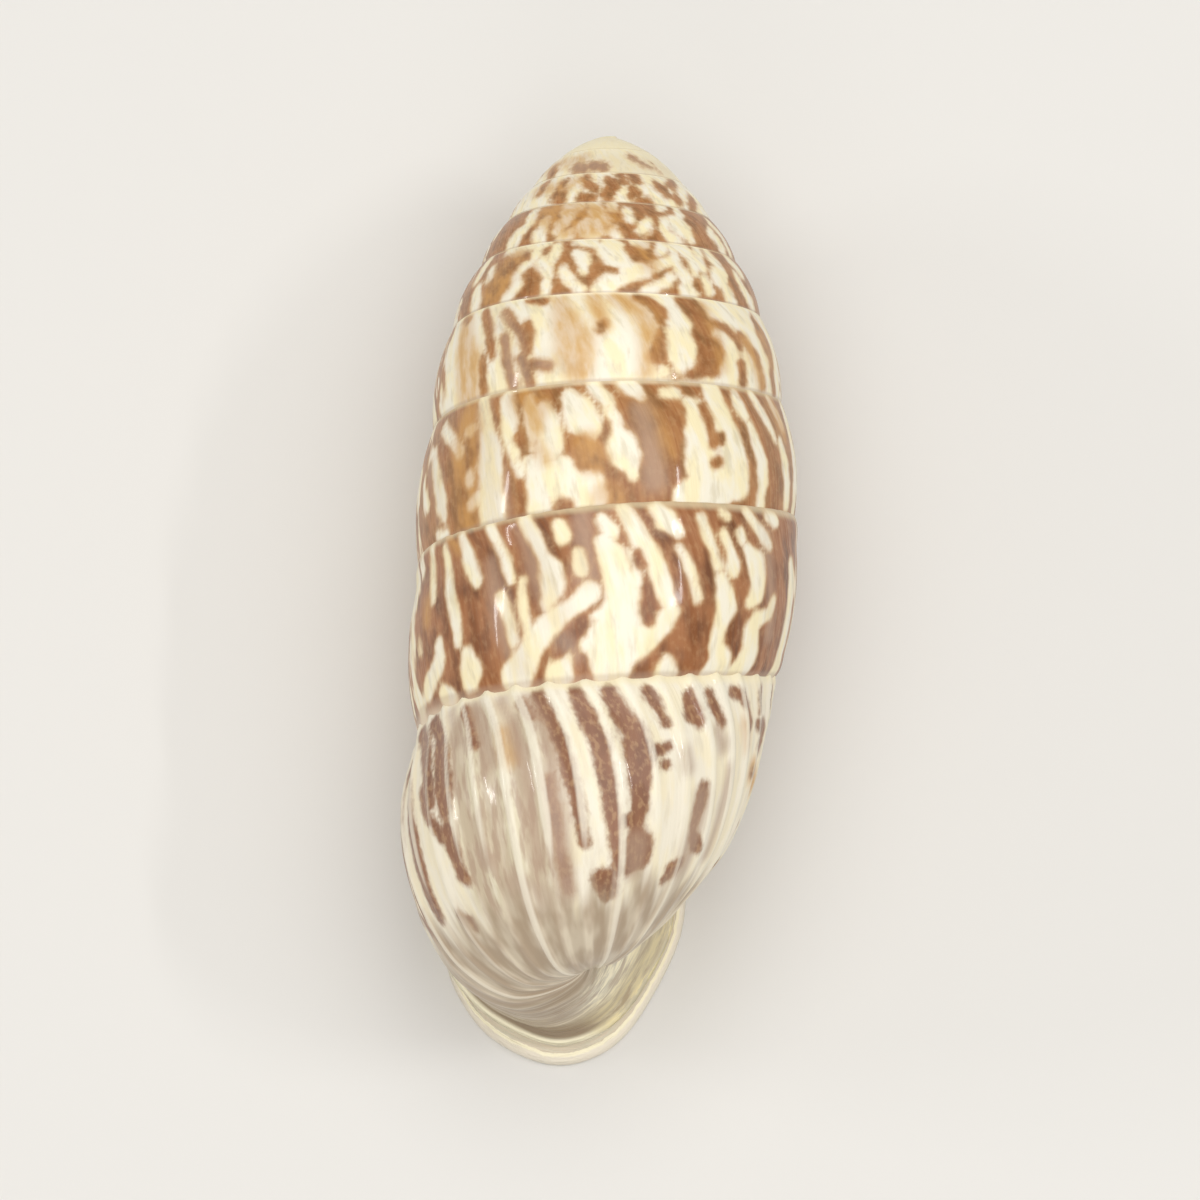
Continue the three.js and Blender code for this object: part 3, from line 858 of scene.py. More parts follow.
DRAWINGS = (
    Drawing(1, Tone.PALE, streaks(
        ((1.14, 0.5, 0.4), (1.125, 0.8, 0.35)),
        ((1.195, 0.35, 0.38), (1.185, 0.45, 0.38)),
        ((1.33, 0.75, 0.38), (1.31, 0.85, 0.38)),
        ((1.41, 0.6, 0.38), (1.395, 0.85, 0.38)),
        ((1.30, 0.75, 0.3), (1.27, 0.8, 0.3)),
        ((1.17, 0.6, 0.3), (1.14, 0.75, 0.35), (1.12, 0.9, 0.2))),
        ochre=streaks(((1.44, 0.45, 0.3), (1.36, 0.5, 0.35), (1.33, 0.4, 0.3))),
        taupe=streaks(((1.32, 0.7, 0.9), (1.1, 0.8, 0.9)))),
    Drawing(2, Tone.PALE, streaks(
        ((2.212, 0.03, 0.4), (2.207, 0.15, 0.5), (2.205, 0.27, 0.5)),
        ((2.232, 0.1, 0.15), (2.23, 0.35, 0.3)),
        ((2.3, 0.17, 0.3), (2.295, 0.35, 0.35), (2.287, 0.5, 0.3), (2.28, 0.6, 0.2)),
        ((2.255, 0.32, 0.4), (2.248, 0.45, 0.55), (2.25, 0.6, 0.5), (2.258, 0.8, 0.45),
         (2.255, 0.9, 0.3)),
        ((2.213, 0.62, 0.3), (2.21, 0.7, 0.45), (2.214, 0.78, 0.25)),
        ((2.335, 0.65, 0.3), (2.333, 0.95, 0.25)),
        ((2.34, 0.3, 0.12), (2.347, 0.75, 0.2)),
        ((2.16, 0.42, 0.5), (2.15, 0.5, 0.4), (2.15, 0.62, 0.3)),
        ((2.132, 0.67, 0.35), (2.13, 0.8, 0.3)),
        ((2.298, 0.87, 0.3), (2.28, 0.9, 0.2)),
        ((2.205, 0.97, 0.3), (2.19, 0.98, 0.3)),
        ((2.39, 0.2, 0.15), (2.386, 0.5, 0.15)),
        ((2.11, 0.1, 0.2), (2.13, 0.35, 0.3)),
        ((2.08, 0.6, 0.2), (2.1, 0.9, 0.3))),
        ochre=streaks(((2.4, 0.4, 0.4), (2.34, 0.45, 0.45), (2.31, 0.3, 0.35)))),
    Drawing(3, Tone.BROWN, streaks(
        ((3.143, 0.03, 0.35), (3.145, 0.2, 0.4), (3.15, 0.4, 0.4), (3.155, 0.52, 0.8),
         (3.148, 0.65, 0.7), (3.14, 0.8, 0.35)),
        ((3.172, 0.5, 0.5), (3.178, 0.65, 0.3)),
        ((3.2, 0.57, 0.35), (3.203, 0.68, 0.45), (3.21, 0.78, 0.25)),
        ((3.228, 0.28, 0.3), (3.226, 0.4, 0.4), (3.225, 0.5, 0.2)),
        ((3.248, 0.82, 0.3), (3.243, 0.93, 0.3)),
        ((3.285, 0.68, 0.4), (3.276, 0.75, 0.8), (3.27, 0.82, 0.6)),
        ((3.275, 0.05, 0.5), (3.27, 0.3, 0.5), (3.265, 0.5, 0.5), (3.258, 0.62, 0.4)),
        ((3.31, 0.03, 0.7), (3.3, 0.08, 0.6)),
        ((3.315, 0.3, 0.4), (3.308, 0.4, 0.5)),
        ((3.312, 0.55, 0.5), (3.32, 0.78, 0.35)),
        ((3.343, 0.5, 0.3), (3.345, 0.62, 0.3)),
        ((3.345, 0.82, 0.6), (3.343, 0.92, 0.5)),
        ((3.375, 0.15, 0.45), (3.37, 0.45, 0.5), (3.375, 0.6, 0.4), (3.388, 0.8, 0.6),
         (3.39, 1, 0.6)),
        ((3.088, 0.5, 0.25), (3.093, 0.6, 0.4), (3.08, 0.72, 0.5), (3.075, 0.9, 0.5)),
        ((3.303, 0.88, 0.4), (3.31, 0.97, 0.5)),
        ((3.175, 0.85, 0.3), (3.165, 0.93, 0.6)),
        ((3.17, 0.05, 0.3), (3.175, 0.1, 0.3)),
        ((3.25, 0.1, 0.35), (3.248, 0.2, 0.3)),
        ((3.07, 0.25, 0.4), (3.055, 0.55, 0.4), (3.05, 0.9, 0.4))),
        ochre=streaks(((3.34, 0.2, 1.2), (3.3, 0.5, 1.4), (3.26, 0.5, 1.2)))),
    Drawing(4, Tone.BROWN, streaks(
        ((4.348, 0.45, 0.2), (4.357, 0.62, 0.4), (4.353, 0.75, 0.45), (4.358, 0.88, 0.4),
         (4.368, 0.98, 0.4)),
        ((4.34, 0.12, 0.4), (4.338, 0.25, 0.4), (4.34, 0.38, 0.3)),
        ((4.315, 0.12, 0.4), (4.313, 0.25, 0.5), (4.316, 0.38, 0.2)),
        ((4.328, 0.42, 0.5), (4.32, 0.55, 0.5), (4.316, 0.7, 0.4), (4.317, 0.85, 0.35),
         (4.318, 0.98, 0.3)),
        ((4.3, 0.6, 0.4), (4.295, 0.72, 0.45), (4.288, 0.84, 0.4), (4.28, 0.97, 0.35)),
        ((4.288, 0.3, 0.3), (4.28, 0.4, 0.55), (4.278, 0.5, 0.5), (4.278, 0.6, 0.2)),
        ((4.25, 0.2, 1.0), (4.248, 0.32, 0.9), (4.24, 0.42, 0.7), (4.233, 0.52, 0.6),
         (4.23, 0.64, 0.7), (4.212, 0.64, 0.55)),
        ((4.23, 0.7, 0.6), (4.238, 0.8, 0.5), (4.25, 0.86, 0.7), (4.255, 0.98, 0.8)),
        ((4.185, 0.1, 0.4), (4.19, 0.2, 0.5), (4.193, 0.25, 0.3)),
        ((4.175, 0.1, 0.4), (4.172, 0.25, 0.4), (4.176, 0.38, 0.4), (4.19, 0.45, 0.4),
         (4.198, 0.52, 0.3)),
        ((4.185, 0.72, 0.25), (4.19, 0.82, 0.35), (4.2, 0.9, 0.4), (4.21, 0.98, 0.5)),
        ((4.162, 0.03, 0.7), (4.158, 0.15, 0.7), (4.15, 0.3, 0.6), (4.15, 0.45, 0.45),
         (4.152, 0.58, 0.3)),
        ((4.174, 0.46, 0.3), (4.17, 0.58, 0.5), (4.165, 0.7, 0.5), (4.167, 0.85, 0.5),
         (4.163, 1.0, 0.7)),
        ((4.135, 0.03, 0.5), (4.14, 0.3, 0.4), (4.14, 0.45, 0.3)),
        ((4.142, 0.65, 0.3), (4.138, 0.78, 0.4), (4.136, 0.85, 0.2)),
        ((4.12, 0.05, 0.4), (4.117, 0.2, 0.5), (4.11, 0.35, 0.4), (4.108, 0.47, 0.5),
         (4.116, 0.57, 0.9), (4.113, 0.7, 0.5), (4.107, 0.84, 0.5), (4.103, 0.98, 0.6)),
        ((4.08, 0.45, 0.3), (4.075, 0.6, 0.45), (4.065, 0.78, 0.5), (4.055, 0.92, 0.5)),
        ((4.405, 0.38, 0.3), (4.4, 0.52, 0.4)),
        ((4.43, 0.15, 0.6), (4.43, 0.45, 0.4)),
        ((4.42, 0.68, 0.5), (4.416, 0.88, 0.7)),
        ((4.39, 0.03, 0.5), (4.36, 0.05, 0.5), (4.33, 0.03, 0.4)),
        ((4.29, 0.03, 0.4), (4.27, 0.08, 0.5), (4.265, 0.15, 0.3)),
        ((4.22, 0.03, 0.3), (4.21, 0.08, 0.5)),
        ((4.075, 0.1, 0.5), (4.06, 0.3, 0.6))),
        ochre=streaks(
            ((4.37, 0.3, 0.9), (4.38, 0.6, 1.2), (4.39, 0.9, 0.8)),
            ((4.21, 0.2, 0.5), (4.205, 0.5, 0.6)))),
    Drawing(5, Tone.PALE, streaks(
        ((5.449, 0.62, 0.25), (5.444, 0.8, 0.3), (5.455, 0.97, 0.3)),
        ((5.378, 0.6, 0.12), (5.375, 0.95, 0.22)),
        ((5.392, 0.05, 0.3), (5.378, 0.25, 0.3), (5.37, 0.48, 0.3), (5.366, 0.6, 0.12)),
        ((5.36, 0.13, 0.15), (5.347, 0.28, 0.22), (5.335, 0.42, 0.25), (5.326, 0.62, 0.12)),
        ((5.354, 0.42, 0.12), (5.35, 0.55, 0.3), (5.347, 0.72, 0.3), (5.34, 0.95, 0.2)),
        ((5.33, 0.33, 0.3), (5.327, 0.42, 0.35), (5.325, 0.55, 0.2)),
        ((5.332, 0.68, 0.12), (5.322, 0.97, 0.18)),
        ((5.32, 0.78, 0.22), (5.303, 0.8, 0.25)),
        ((5.222, 0.06, 0.2), (5.21, 0.12, 0.5), (5.2, 0.22, 0.55), (5.2, 0.36, 0.3)),
        ((5.198, 0.42, 0.3), (5.203, 0.6, 0.55), (5.204, 0.75, 0.6), (5.198, 0.88, 0.4)),
        ((5.17, 0.08, 0.9), (5.16, 0.2, 0.9), (5.155, 0.32, 0.8), (5.158, 0.5, 0.7),
         (5.149, 0.65, 1.15), (5.152, 0.8, 0.9), (5.165, 0.9, 0.4), (5.185, 0.92, 0.35),
         (5.197, 0.85, 0.3)),
        ((5.145, 0.3, 0.35), (5.128, 0.33, 0.22), (5.115, 0.45, 0.28), (5.112, 0.55, 0.12)),
        ((5.107, 0.4, 0.12), (5.097, 0.5, 0.32), (5.088, 0.6, 0.42), (5.082, 0.75, 0.32),
         (5.077, 0.92, 0.3)),
        ((5.112, 0.72, 0.12), (5.11, 0.85, 0.32), (5.11, 0.93, 0.2)),
        ((5.07, 0.13, 0.4), (5.063, 0.3, 0.85), (5.056, 0.45, 0.85), (5.053, 0.6, 0.45),
         (5.056, 0.78, 0.4), (5.05, 0.95, 0.4)),
        ((5.02, 0.2, 0.3), (5.02, 0.8, 0.5)),
        ((5.255, 0.38, 0.12), (5.256, 0.44, 0.15)),
        ((5.335, 0.02, 0.2), (5.315, 0.06, 0.22)),
        ((5.43, 0.03, 0.25), (5.42, 0.1, 0.2))),
        restored=streaks(
            ((5.187, 0.15, 0.2), (5.18, 0.27, 0.55), (5.175, 0.36, 0.35)),
            ((5.19, 0.45, 0.3), (5.183, 0.58, 0.85), (5.182, 0.7, 0.9), (5.182, 0.82, 0.55)),
            ((5.198, 0.88, 0.25), (5.197, 0.93, 0.2))),
        ochre=streaks(
            ((5.425, 0.05, 0.6), (5.412, 0.35, 1.0), (5.4, 0.6, 1.3), (5.395, 0.97, 1.2)),
            ((5.3, 0.1, 0.6), (5.29, 0.35, 1.0), (5.28, 0.6, 1.4), (5.275, 0.85, 1.0)),
            ((5.265, 0.05, 0.6), (5.255, 0.4, 0.5)),
            ((5.245, 0.05, 0.6), (5.222, 0.2, 0.8), (5.212, 0.35, 0.9), (5.213, 0.6, 0.6),
             (5.215, 0.9, 0.5)),
            ((5.15, 0.1, 0.4), (5.14, 0.45, 0.3), (5.137, 0.8, 0.3)),
            ((5.1, 0.45, 0.5), (5.08, 0.9, 0.6)),
            ((5.065, 0.2, 0.6), (5.055, 0.6, 0.4))),
        taupe=streaks(
            ((5.37, 0.1, 0.6), (5.345, 0.5, 0.9), (5.335, 0.9, 0.9)),
            ((5.31, 0.75, 0.6), (5.28, 0.85, 0.4)))),
    Drawing(6, Tone.BROWN, streaks(
        ((6.46, 0.5, 0.4), (6.45, 0.62, 0.5), (6.44, 0.7, 0.3)),
        ((6.44, 0.3, 0.3), (6.428, 0.45, 0.45), (6.418, 0.62, 0.6), (6.414, 0.74, 0.7),
         (6.41, 0.84, 0.3)),
        ((6.385, 0.26, 0.35), (6.38, 0.26, 0.35)),
        ((6.376, 0.62, 0.3), (6.375, 0.65, 0.45)),
        ((6.36, 0.77, 0.3), (6.373, 0.83, 0.35)),
        ((6.43, 0.13, 0.2), (6.405, 0.28, 0.15), (6.39, 0.42, 0.22)),
        ((6.374, 0.03, 0.5), (6.362, 0.25, 0.5), (6.353, 0.5, 0.95), (6.35, 0.8, 1.0),
         (6.35, 1.0, 1.1)),
        ((6.345, 0.05, 0.5), (6.338, 0.25, 0.7), (6.332, 0.45, 0.5), (6.328, 0.58, 0.3),
         (6.32, 0.66, 0.5)),
        ((6.32, 0.1, 0.4), (6.315, 0.3, 0.3), (6.31, 0.5, 0.35)),
        ((6.285, 0.1, 0.5), (6.275, 0.22, 1.0), (6.268, 0.35, 1.2), (6.265, 0.43, 0.7)),
        ((6.307, 0.2, 0.6), (6.3, 0.35, 1.0), (6.297, 0.5, 1.0), (6.303, 0.6, 0.6)),
        ((6.302, 0.66, 0.7), (6.287, 0.75, 1.4), (6.27, 0.84, 1.6), (6.26, 0.92, 1.0)),
        ((6.314, 0.6, 0.3), (6.307, 0.8, 0.7), (6.305, 1.0, 0.9)),
        ((6.262, 0.03, 0.5), (6.25, 0.17, 0.5), (6.241, 0.33, 0.25), (6.24, 0.42, 0.5),
         (6.236, 0.53, 1.0), (6.233, 0.62, 1.0), (6.228, 0.7, 0.5), (6.226, 0.76, 0.2)),
        ((6.235, 0.02, 0.6), (6.225, 0.08, 0.6), (6.22, 0.13, 0.2)),
        ((6.2, 0.1, 0.4), (6.187, 0.1, 0.45)),
        ((6.178, 0.15, 0.3), (6.17, 0.2, 0.6), (6.173, 0.3, 0.6), (6.168, 0.45, 1.1),
         (6.168, 0.62, 1.1), (6.165, 0.8, 1.1), (6.17, 0.93, 1.7)),
        ((6.152, 0.02, 0.7), (6.147, 0.2, 0.8), (6.14, 0.35, 0.8), (6.135, 0.5, 1.0),
         (6.13, 0.65, 1.0), (6.13, 0.82, 1.0)),
        ((6.155, 0.3, 0.6), (6.15, 0.6, 1.0), (6.147, 0.85, 1.2)),
        ((6.125, 0.06, 0.4), (6.122, 0.15, 0.6), (6.117, 0.24, 0.4)),
        ((6.112, 0.32, 0.25), (6.107, 0.45, 0.5), (6.1, 0.6, 0.6), (6.098, 0.75, 0.6),
         (6.1, 0.86, 0.4), (6.1, 0.97, 0.5)),
        ((6.1, 0.04, 0.35), (6.093, 0.15, 0.45), (6.083, 0.28, 0.45), (6.077, 0.38, 0.3)),
        ((6.07, 0.05, 0.3), (6.062, 0.15, 0.5), (6.055, 0.25, 0.4)),
        ((6.065, 0.4, 0.4), (6.058, 0.6, 0.6), (6.055, 0.75, 0.6), (6.053, 0.92, 0.5)),
        ((6.03, 0.1, 0.8), (6.025, 0.5, 0.9), (6.025, 0.9, 0.9)),
        ((6.42, 0.94, 0.4), (6.41, 0.98, 0.5))),
        restored=streaks(
            ((6.28, 0.46, 0.3), (6.27, 0.52, 0.8), (6.262, 0.6, 1.1), (6.256, 0.68, 0.5)),
            ((6.288, 0.94, 0.4), (6.28, 0.97, 0.5)),
            ((6.327, 0.4, 0.3), (6.324, 0.44, 0.2)),
            ((6.163, 0.2, 0.1), (6.158, 0.35, 0.12), (6.155, 0.5, 0.08)),
            ((6.147, 0.43, 0.18), (6.147, 0.47, 0.2)),
            ((6.155, 0.66, 0.25), (6.15, 0.64, 0.2))),
        ochre=streaks(
            ((6.39, 0.08, 0.8), (6.385, 0.3, 1.4), (6.38, 0.6, 1.2), (6.378, 0.95, 0.9)),
            ((6.33, 0.06, 1.0), (6.315, 0.2, 1.2), (6.31, 0.35, 0.6)),
            ((6.31, 0.45, 0.3), (6.3, 0.6, 0.4)),
            ((6.265, 0.5, 0.8), (6.258, 0.65, 0.9)),
            ((6.217, 0.15, 0.3), (6.205, 0.4, 0.35), (6.197, 0.62, 0.25)),
            ((6.07, 0.1, 0.8), (6.055, 0.3, 0.8)),
            ((6.25, 0.9, 0.8), (6.24, 0.95, 0.6))),
        taupe=streaks(
            ((6.37, 0.1, 0.5), (6.355, 0.4, 0.8), (6.35, 0.7, 1.1), (6.345, 0.97, 1.1)),
            ((6.22, 0.25, 0.7), (6.212, 0.5, 0.7), (6.208, 0.8, 0.8)),
            ((6.44, 0.4, 0.5), (6.42, 0.6, 0.7), (6.415, 0.8, 0.6)))),
    Drawing(7, Tone.BROWN, streaks(
        ((7.452, 0.57, 0.45), (7.447, 0.67, 0.6)),
        ((7.433, 0.03, 0.25), (7.43, 0.2, 0.4), (7.42, 0.38, 0.3)),
        ((7.409, 0.06, 0.15), (7.403, 0.22, 0.25), (7.393, 0.42, 0.5), (7.385, 0.56, 0.5),
         (7.384, 0.68, 0.4)),
        ((7.385, 0.04, 0.3), (7.378, 0.16, 0.6), (7.372, 0.26, 0.6), (7.362, 0.35, 0.2)),
        ((7.41, 0.66, 0.45), (7.408, 0.76, 0.6), (7.42, 0.82, 0.7), (7.436, 0.9, 0.8),
         (7.447, 0.95, 0.5)),
        ((7.374, 0.76, 0.5), (7.372, 0.86, 1.0), (7.375, 0.94, 0.7)),
        ((7.41, 0.98, 0.7), (7.4, 1.0, 0.7)),
        ((7.352, 0.03, 0.35), (7.345, 0.12, 0.3), (7.335, 0.25, 0.15), (7.328, 0.38, 0.12)),
        ((7.337, 0.47, 0.45), (7.33, 0.6, 0.45), (7.325, 0.75, 0.35)),
        ((7.318, 0.4, 0.2), (7.315, 0.6, 0.25), (7.31, 0.75, 0.3)),
        ((7.318, 0.03, 0.5), (7.308, 0.15, 0.5), (7.3, 0.27, 0.45), (7.292, 0.35, 0.8),
         (7.29, 0.45, 0.9), (7.294, 0.53, 0.5)),
        ((7.287, 0.09, 0.5), (7.284, 0.16, 0.6)),
        ((7.27, 0.27, 0.35), (7.267, 0.37, 0.5)),
        ((7.26, 0.5, 0.8), (7.27, 0.57, 0.6), (7.285, 0.62, 0.7), (7.298, 0.7, 0.9),
         (7.312, 0.82, 0.9), (7.325, 0.95, 1.2)),
        ((7.284, 0.89, 0.8), (7.286, 0.97, 1.0)),
        ((7.25, 0.2, 0.5), (7.243, 0.3, 0.9), (7.237, 0.42, 1.0), (7.233, 0.55, 1.1),
         (7.235, 0.68, 1.5), (7.24, 0.8, 1.8), (7.24, 0.93, 1.4)),
        ((7.236, 0.02, 0.4), (7.225, 0.14, 0.6), (7.215, 0.27, 0.7), (7.205, 0.38, 0.7),
         (7.198, 0.5, 0.6), (7.192, 0.6, 0.4)),
        ((7.19, 0.63, 0.5), (7.197, 0.7, 0.8), (7.21, 0.76, 1.0), (7.225, 0.85, 1.0)),
        ((7.243, 0.78, 0.8), (7.262, 0.8, 0.5)),
        ((7.24, 0.65, 0.8), (7.255, 0.64, 0.3)),
        ((7.225, 0.3, 0.3), (7.222, 0.45, 0.5), (7.222, 0.55, 0.4)),
        ((7.252, 0.08, 0.4), (7.243, 0.15, 0.6)),
        ((7.207, 0.03, 0.5), (7.198, 0.1, 0.8), (7.188, 0.17, 0.5)),
        ((7.187, 0.26, 0.3), (7.18, 0.33, 0.35), (7.173, 0.45, 0.22), (7.167, 0.55, 0.12)),
        # Thin pale streak, partly the shell's own pale mark and partly a painted glint.
        ((7.167, 0.08, 0.12), (7.157, 0.22, 0.12), (7.15, 0.36, 0.12)),
        ((7.145, 0.17, 0.45), (7.138, 0.26, 0.15), (7.135, 0.34, 0.65), (7.134, 0.38, 0.5)),
        ((7.128, 0.15, 0.3), (7.124, 0.2, 0.2)),
        ((7.147, 0.43, 0.45), (7.142, 0.52, 0.75), (7.138, 0.6, 0.8), (7.142, 0.72, 0.6),
         (7.144, 0.82, 0.6), (7.137, 0.9, 1.0), (7.14, 1.0, 1.3)),
        ((7.118, 0.25, 0.5), (7.108, 0.32, 0.9), (7.103, 0.42, 0.8), (7.104, 0.5, 0.8),
         (7.113, 0.56, 0.35)),
        ((7.078, 0.54, 0.35), (7.083, 0.62, 0.5), (7.1, 0.66, 0.6), (7.105, 0.72, 0.8),
         (7.1, 0.84, 0.9), (7.106, 0.94, 1.0), (7.12, 0.99, 0.7)),
        ((7.12, 0.03, 0.3), (7.11, 0.1, 0.3), (7.097, 0.16, 0.5), (7.088, 0.21, 0.4)),
        ((7.092, 0.04, 0.4), (7.082, 0.06, 0.5)),
        ((7.147, 0.05, 0.4), (7.142, 0.07, 0.4)),
        ((7.045, 0.3, 0.5), (7.035, 0.5, 0.9), (7.035, 0.8, 0.9), (7.04, 1.0, 0.9)),
        ((7.193, 0.92, 0.6), (7.19, 1.0, 0.9))),
        restored=streaks(
            ((7.213, 0.5, 0.3), (7.212, 0.53, 0.45)),
            ((7.213, 0.64, 0.3), (7.21, 0.67, 0.5)),
            ((7.29, 0.85, 0.3), (7.28, 0.8, 0.5), (7.275, 0.75, 0.4)),
            ((7.2, 0.88, 0.4), (7.207, 0.92, 0.3)),
            ((7.222, 0.3, 0.12), (7.218, 0.36, 0.12))),
        ochre=streaks(
            ((7.432, 0.35, 0.3), (7.43, 0.5, 0.4)),
            ((7.4, 0.03, 0.3), (7.39, 0.1, 0.3))),
        taupe=streaks(
            ((7.35, 0.25, 0.5), (7.335, 0.6, 1.0), (7.32, 0.9, 0.8)),
            ((7.283, 0.75, 0.5), (7.272, 0.85, 0.6)),
            ((7.318, 0.08, 0.6), (7.303, 0.35, 0.9), (7.285, 0.62, 0.9)),
            ((7.268, 0.05, 0.6), (7.262, 0.4, 0.9)),
            ((7.095, 0.15, 0.5), (7.075, 0.75, 0.5)))),
    Drawing(8, Tone.PALE, streaks(
        ((8.462, 0.42, 0.3), (8.456, 0.6, 0.7), (8.451, 0.85, 0.9), (8.448, 1.1, 0.9),
         (8.446, 1.32, 0.7)),
        ((8.462, 0.12, 0.5), (8.445, 0.2, 0.7), (8.432, 0.33, 0.8), (8.42, 0.5, 0.6),
         (8.412, 0.68, 0.3)),
        ((8.43, 0.1, 0.5), (8.415, 0.2, 0.6), (8.402, 0.38, 0.9), (8.396, 0.55, 0.9),
         (8.393, 0.72, 0.8)),
        ((8.392, 0.85, 0.5), (8.388, 1.0, 0.7), (8.384, 1.15, 0.6), (8.38, 1.2, 0.3)),
        ((8.43, 0.55, 0.4), (8.42, 0.7, 0.5), (8.408, 0.82, 0.4), (8.4, 0.9, 0.3)),
        ((8.06, 0.3, 0.4), (8.035, 0.35, 0.8), (8.0, 0.4, 0.9)),
        ((8.492, 0.3, 0.4), (8.487, 0.7, 0.6), (8.483, 1.1, 0.5), (8.478, 1.5, 0.4)),
        ((8.408, 1.4, 0.4), (8.398, 1.48, 0.6)),
        ((8.38, 0.1, 0.4), (8.37, 0.22, 0.45), (8.362, 0.35, 0.2)),
        ((8.32, 0.1, 0.4), (8.31, 0.2, 0.35)),
        ((8.305, 0.06, 0.5), (8.292, 0.22, 0.5), (8.28, 0.42, 0.5), (8.27, 0.68, 0.5),
         (8.263, 0.95, 0.4), (8.26, 1.08, 0.2)),
        ((8.29, 0.65, 0.1), (8.285, 0.9, 0.25), (8.281, 1.15, 0.35), (8.276, 1.4, 0.3)),
        ((8.272, 0.06, 0.5), (8.26, 0.22, 0.6), (8.249, 0.42, 0.6), (8.242, 0.65, 0.6),
         (8.236, 0.9, 0.55), (8.232, 1.1, 0.4), (8.229, 1.3, 0.3)),
        ((8.243, 0.06, 0.5), (8.232, 0.2, 0.6), (8.22, 0.35, 0.8), (8.214, 0.5, 1.0),
         (8.213, 0.68, 0.8), (8.212, 0.85, 0.6), (8.213, 1.0, 0.5), (8.208, 1.12, 1.1),
         (8.208, 1.2, 0.9), (8.217, 1.28, 0.3)),
        ((8.21, 0.5, 0.6), (8.195, 0.48, 0.4), (8.188, 0.45, 0.3)),
        ((8.191, 0.58, 0.25), (8.189, 0.58, 0.25)),
        ((8.235, 0.93, 0.3), (8.222, 0.95, 0.3), (8.212, 0.92, 0.4)),
        ((8.208, 0.07, 0.3), (8.2, 0.15, 0.4), (8.19, 0.3, 0.35)),
        ((8.167, 0.1, 0.4), (8.162, 0.22, 0.8), (8.155, 0.28, 0.5)),
        ((8.145, 0.1, 0.3), (8.135, 0.22, 0.35), (8.128, 0.3, 0.3)),
        ((8.145, 0.72, 0.4), (8.146, 0.85, 0.6), (8.15, 0.98, 0.4)),
        ((8.148, 1.05, 0.4), (8.14, 1.12, 0.6), (8.13, 1.15, 0.3)),
        ((8.155, 1.25, 0.5), (8.163, 1.3, 0.7), (8.17, 1.38, 0.3)),
        ((8.115, 0.08, 0.3), (8.1, 0.12, 0.3), (8.088, 0.2, 0.3), (8.08, 0.32, 0.4)),
        ((8.066, 0.08, 0.3), (8.06, 0.2, 0.3)),
        ((8.045, 0.42, 0.6), (8.02, 0.42, 0.8)),
        ((8.05, 0.62, 0.3), (8.03, 0.65, 0.3)),
        ((8.248, 1.33, 0.5), (8.24, 1.36, 1.0), (8.235, 1.42, 0.9), (8.238, 1.47, 0.5))),
        ochre=streaks(
            ((8.335, 0.3, 0.5), (8.325, 0.5, 0.5)),
            ((8.09, 0.3, 0.6), (8.08, 0.45, 0.5)),
            ((8.05, 0.6, 0.8), (8.02, 0.7, 0.8))),
        taupe=streaks(
            ((8.29, 0.5, 0.4), (8.285, 0.9, 0.8), (8.278, 1.4, 0.8)),
            ((8.145, 0.8, 0.8), (8.15, 1.3, 1.0)),
            ((8.32, 1.45, 0.6), (8.31, 1.5, 0.6)),
            ((8.212, 1.12, 1.0), (8.21, 1.3, 0.7)),
            ((8.37, 0.08, 0.45), (8.352, 0.3, 0.3), (8.345, 0.5, 0.15)),
            ((8.34, 0.08, 0.55), (8.325, 0.25, 0.5), (8.312, 0.5, 0.45), (8.305, 0.8, 0.4),
             (8.3, 1.2, 0.4)),
            ((8.315, 0.08, 0.45), (8.3, 0.25, 0.4), (8.291, 0.45, 0.3)),
            ((8.4, 0.08, 0.3), (8.385, 0.3, 0.2)),
            ((8.355, 0.85, 0.35), (8.352, 1.1, 0.5)),
            ((8.33, 1.3, 0.7), (8.3, 1.45, 0.8)),
            ((8.135, 0.35, 0.4), (8.125, 0.45, 0.6)),
            ((8.17, 0.5, 0.4), (8.165, 0.6, 0.3)),
            ((8.11, 0.6, 0.3), (8.11, 1.2, 0.5))),
        grey=streaks(
            ((8.37, 0.3, 2.2), (8.345, 0.7, 2.6), (8.34, 1.3, 3.0)),
            ((8.31, 0.3, 1.6), (8.305, 0.8, 2.0), (8.3, 1.4, 2.2))),
        ends=(0.47, 0.495)),
)


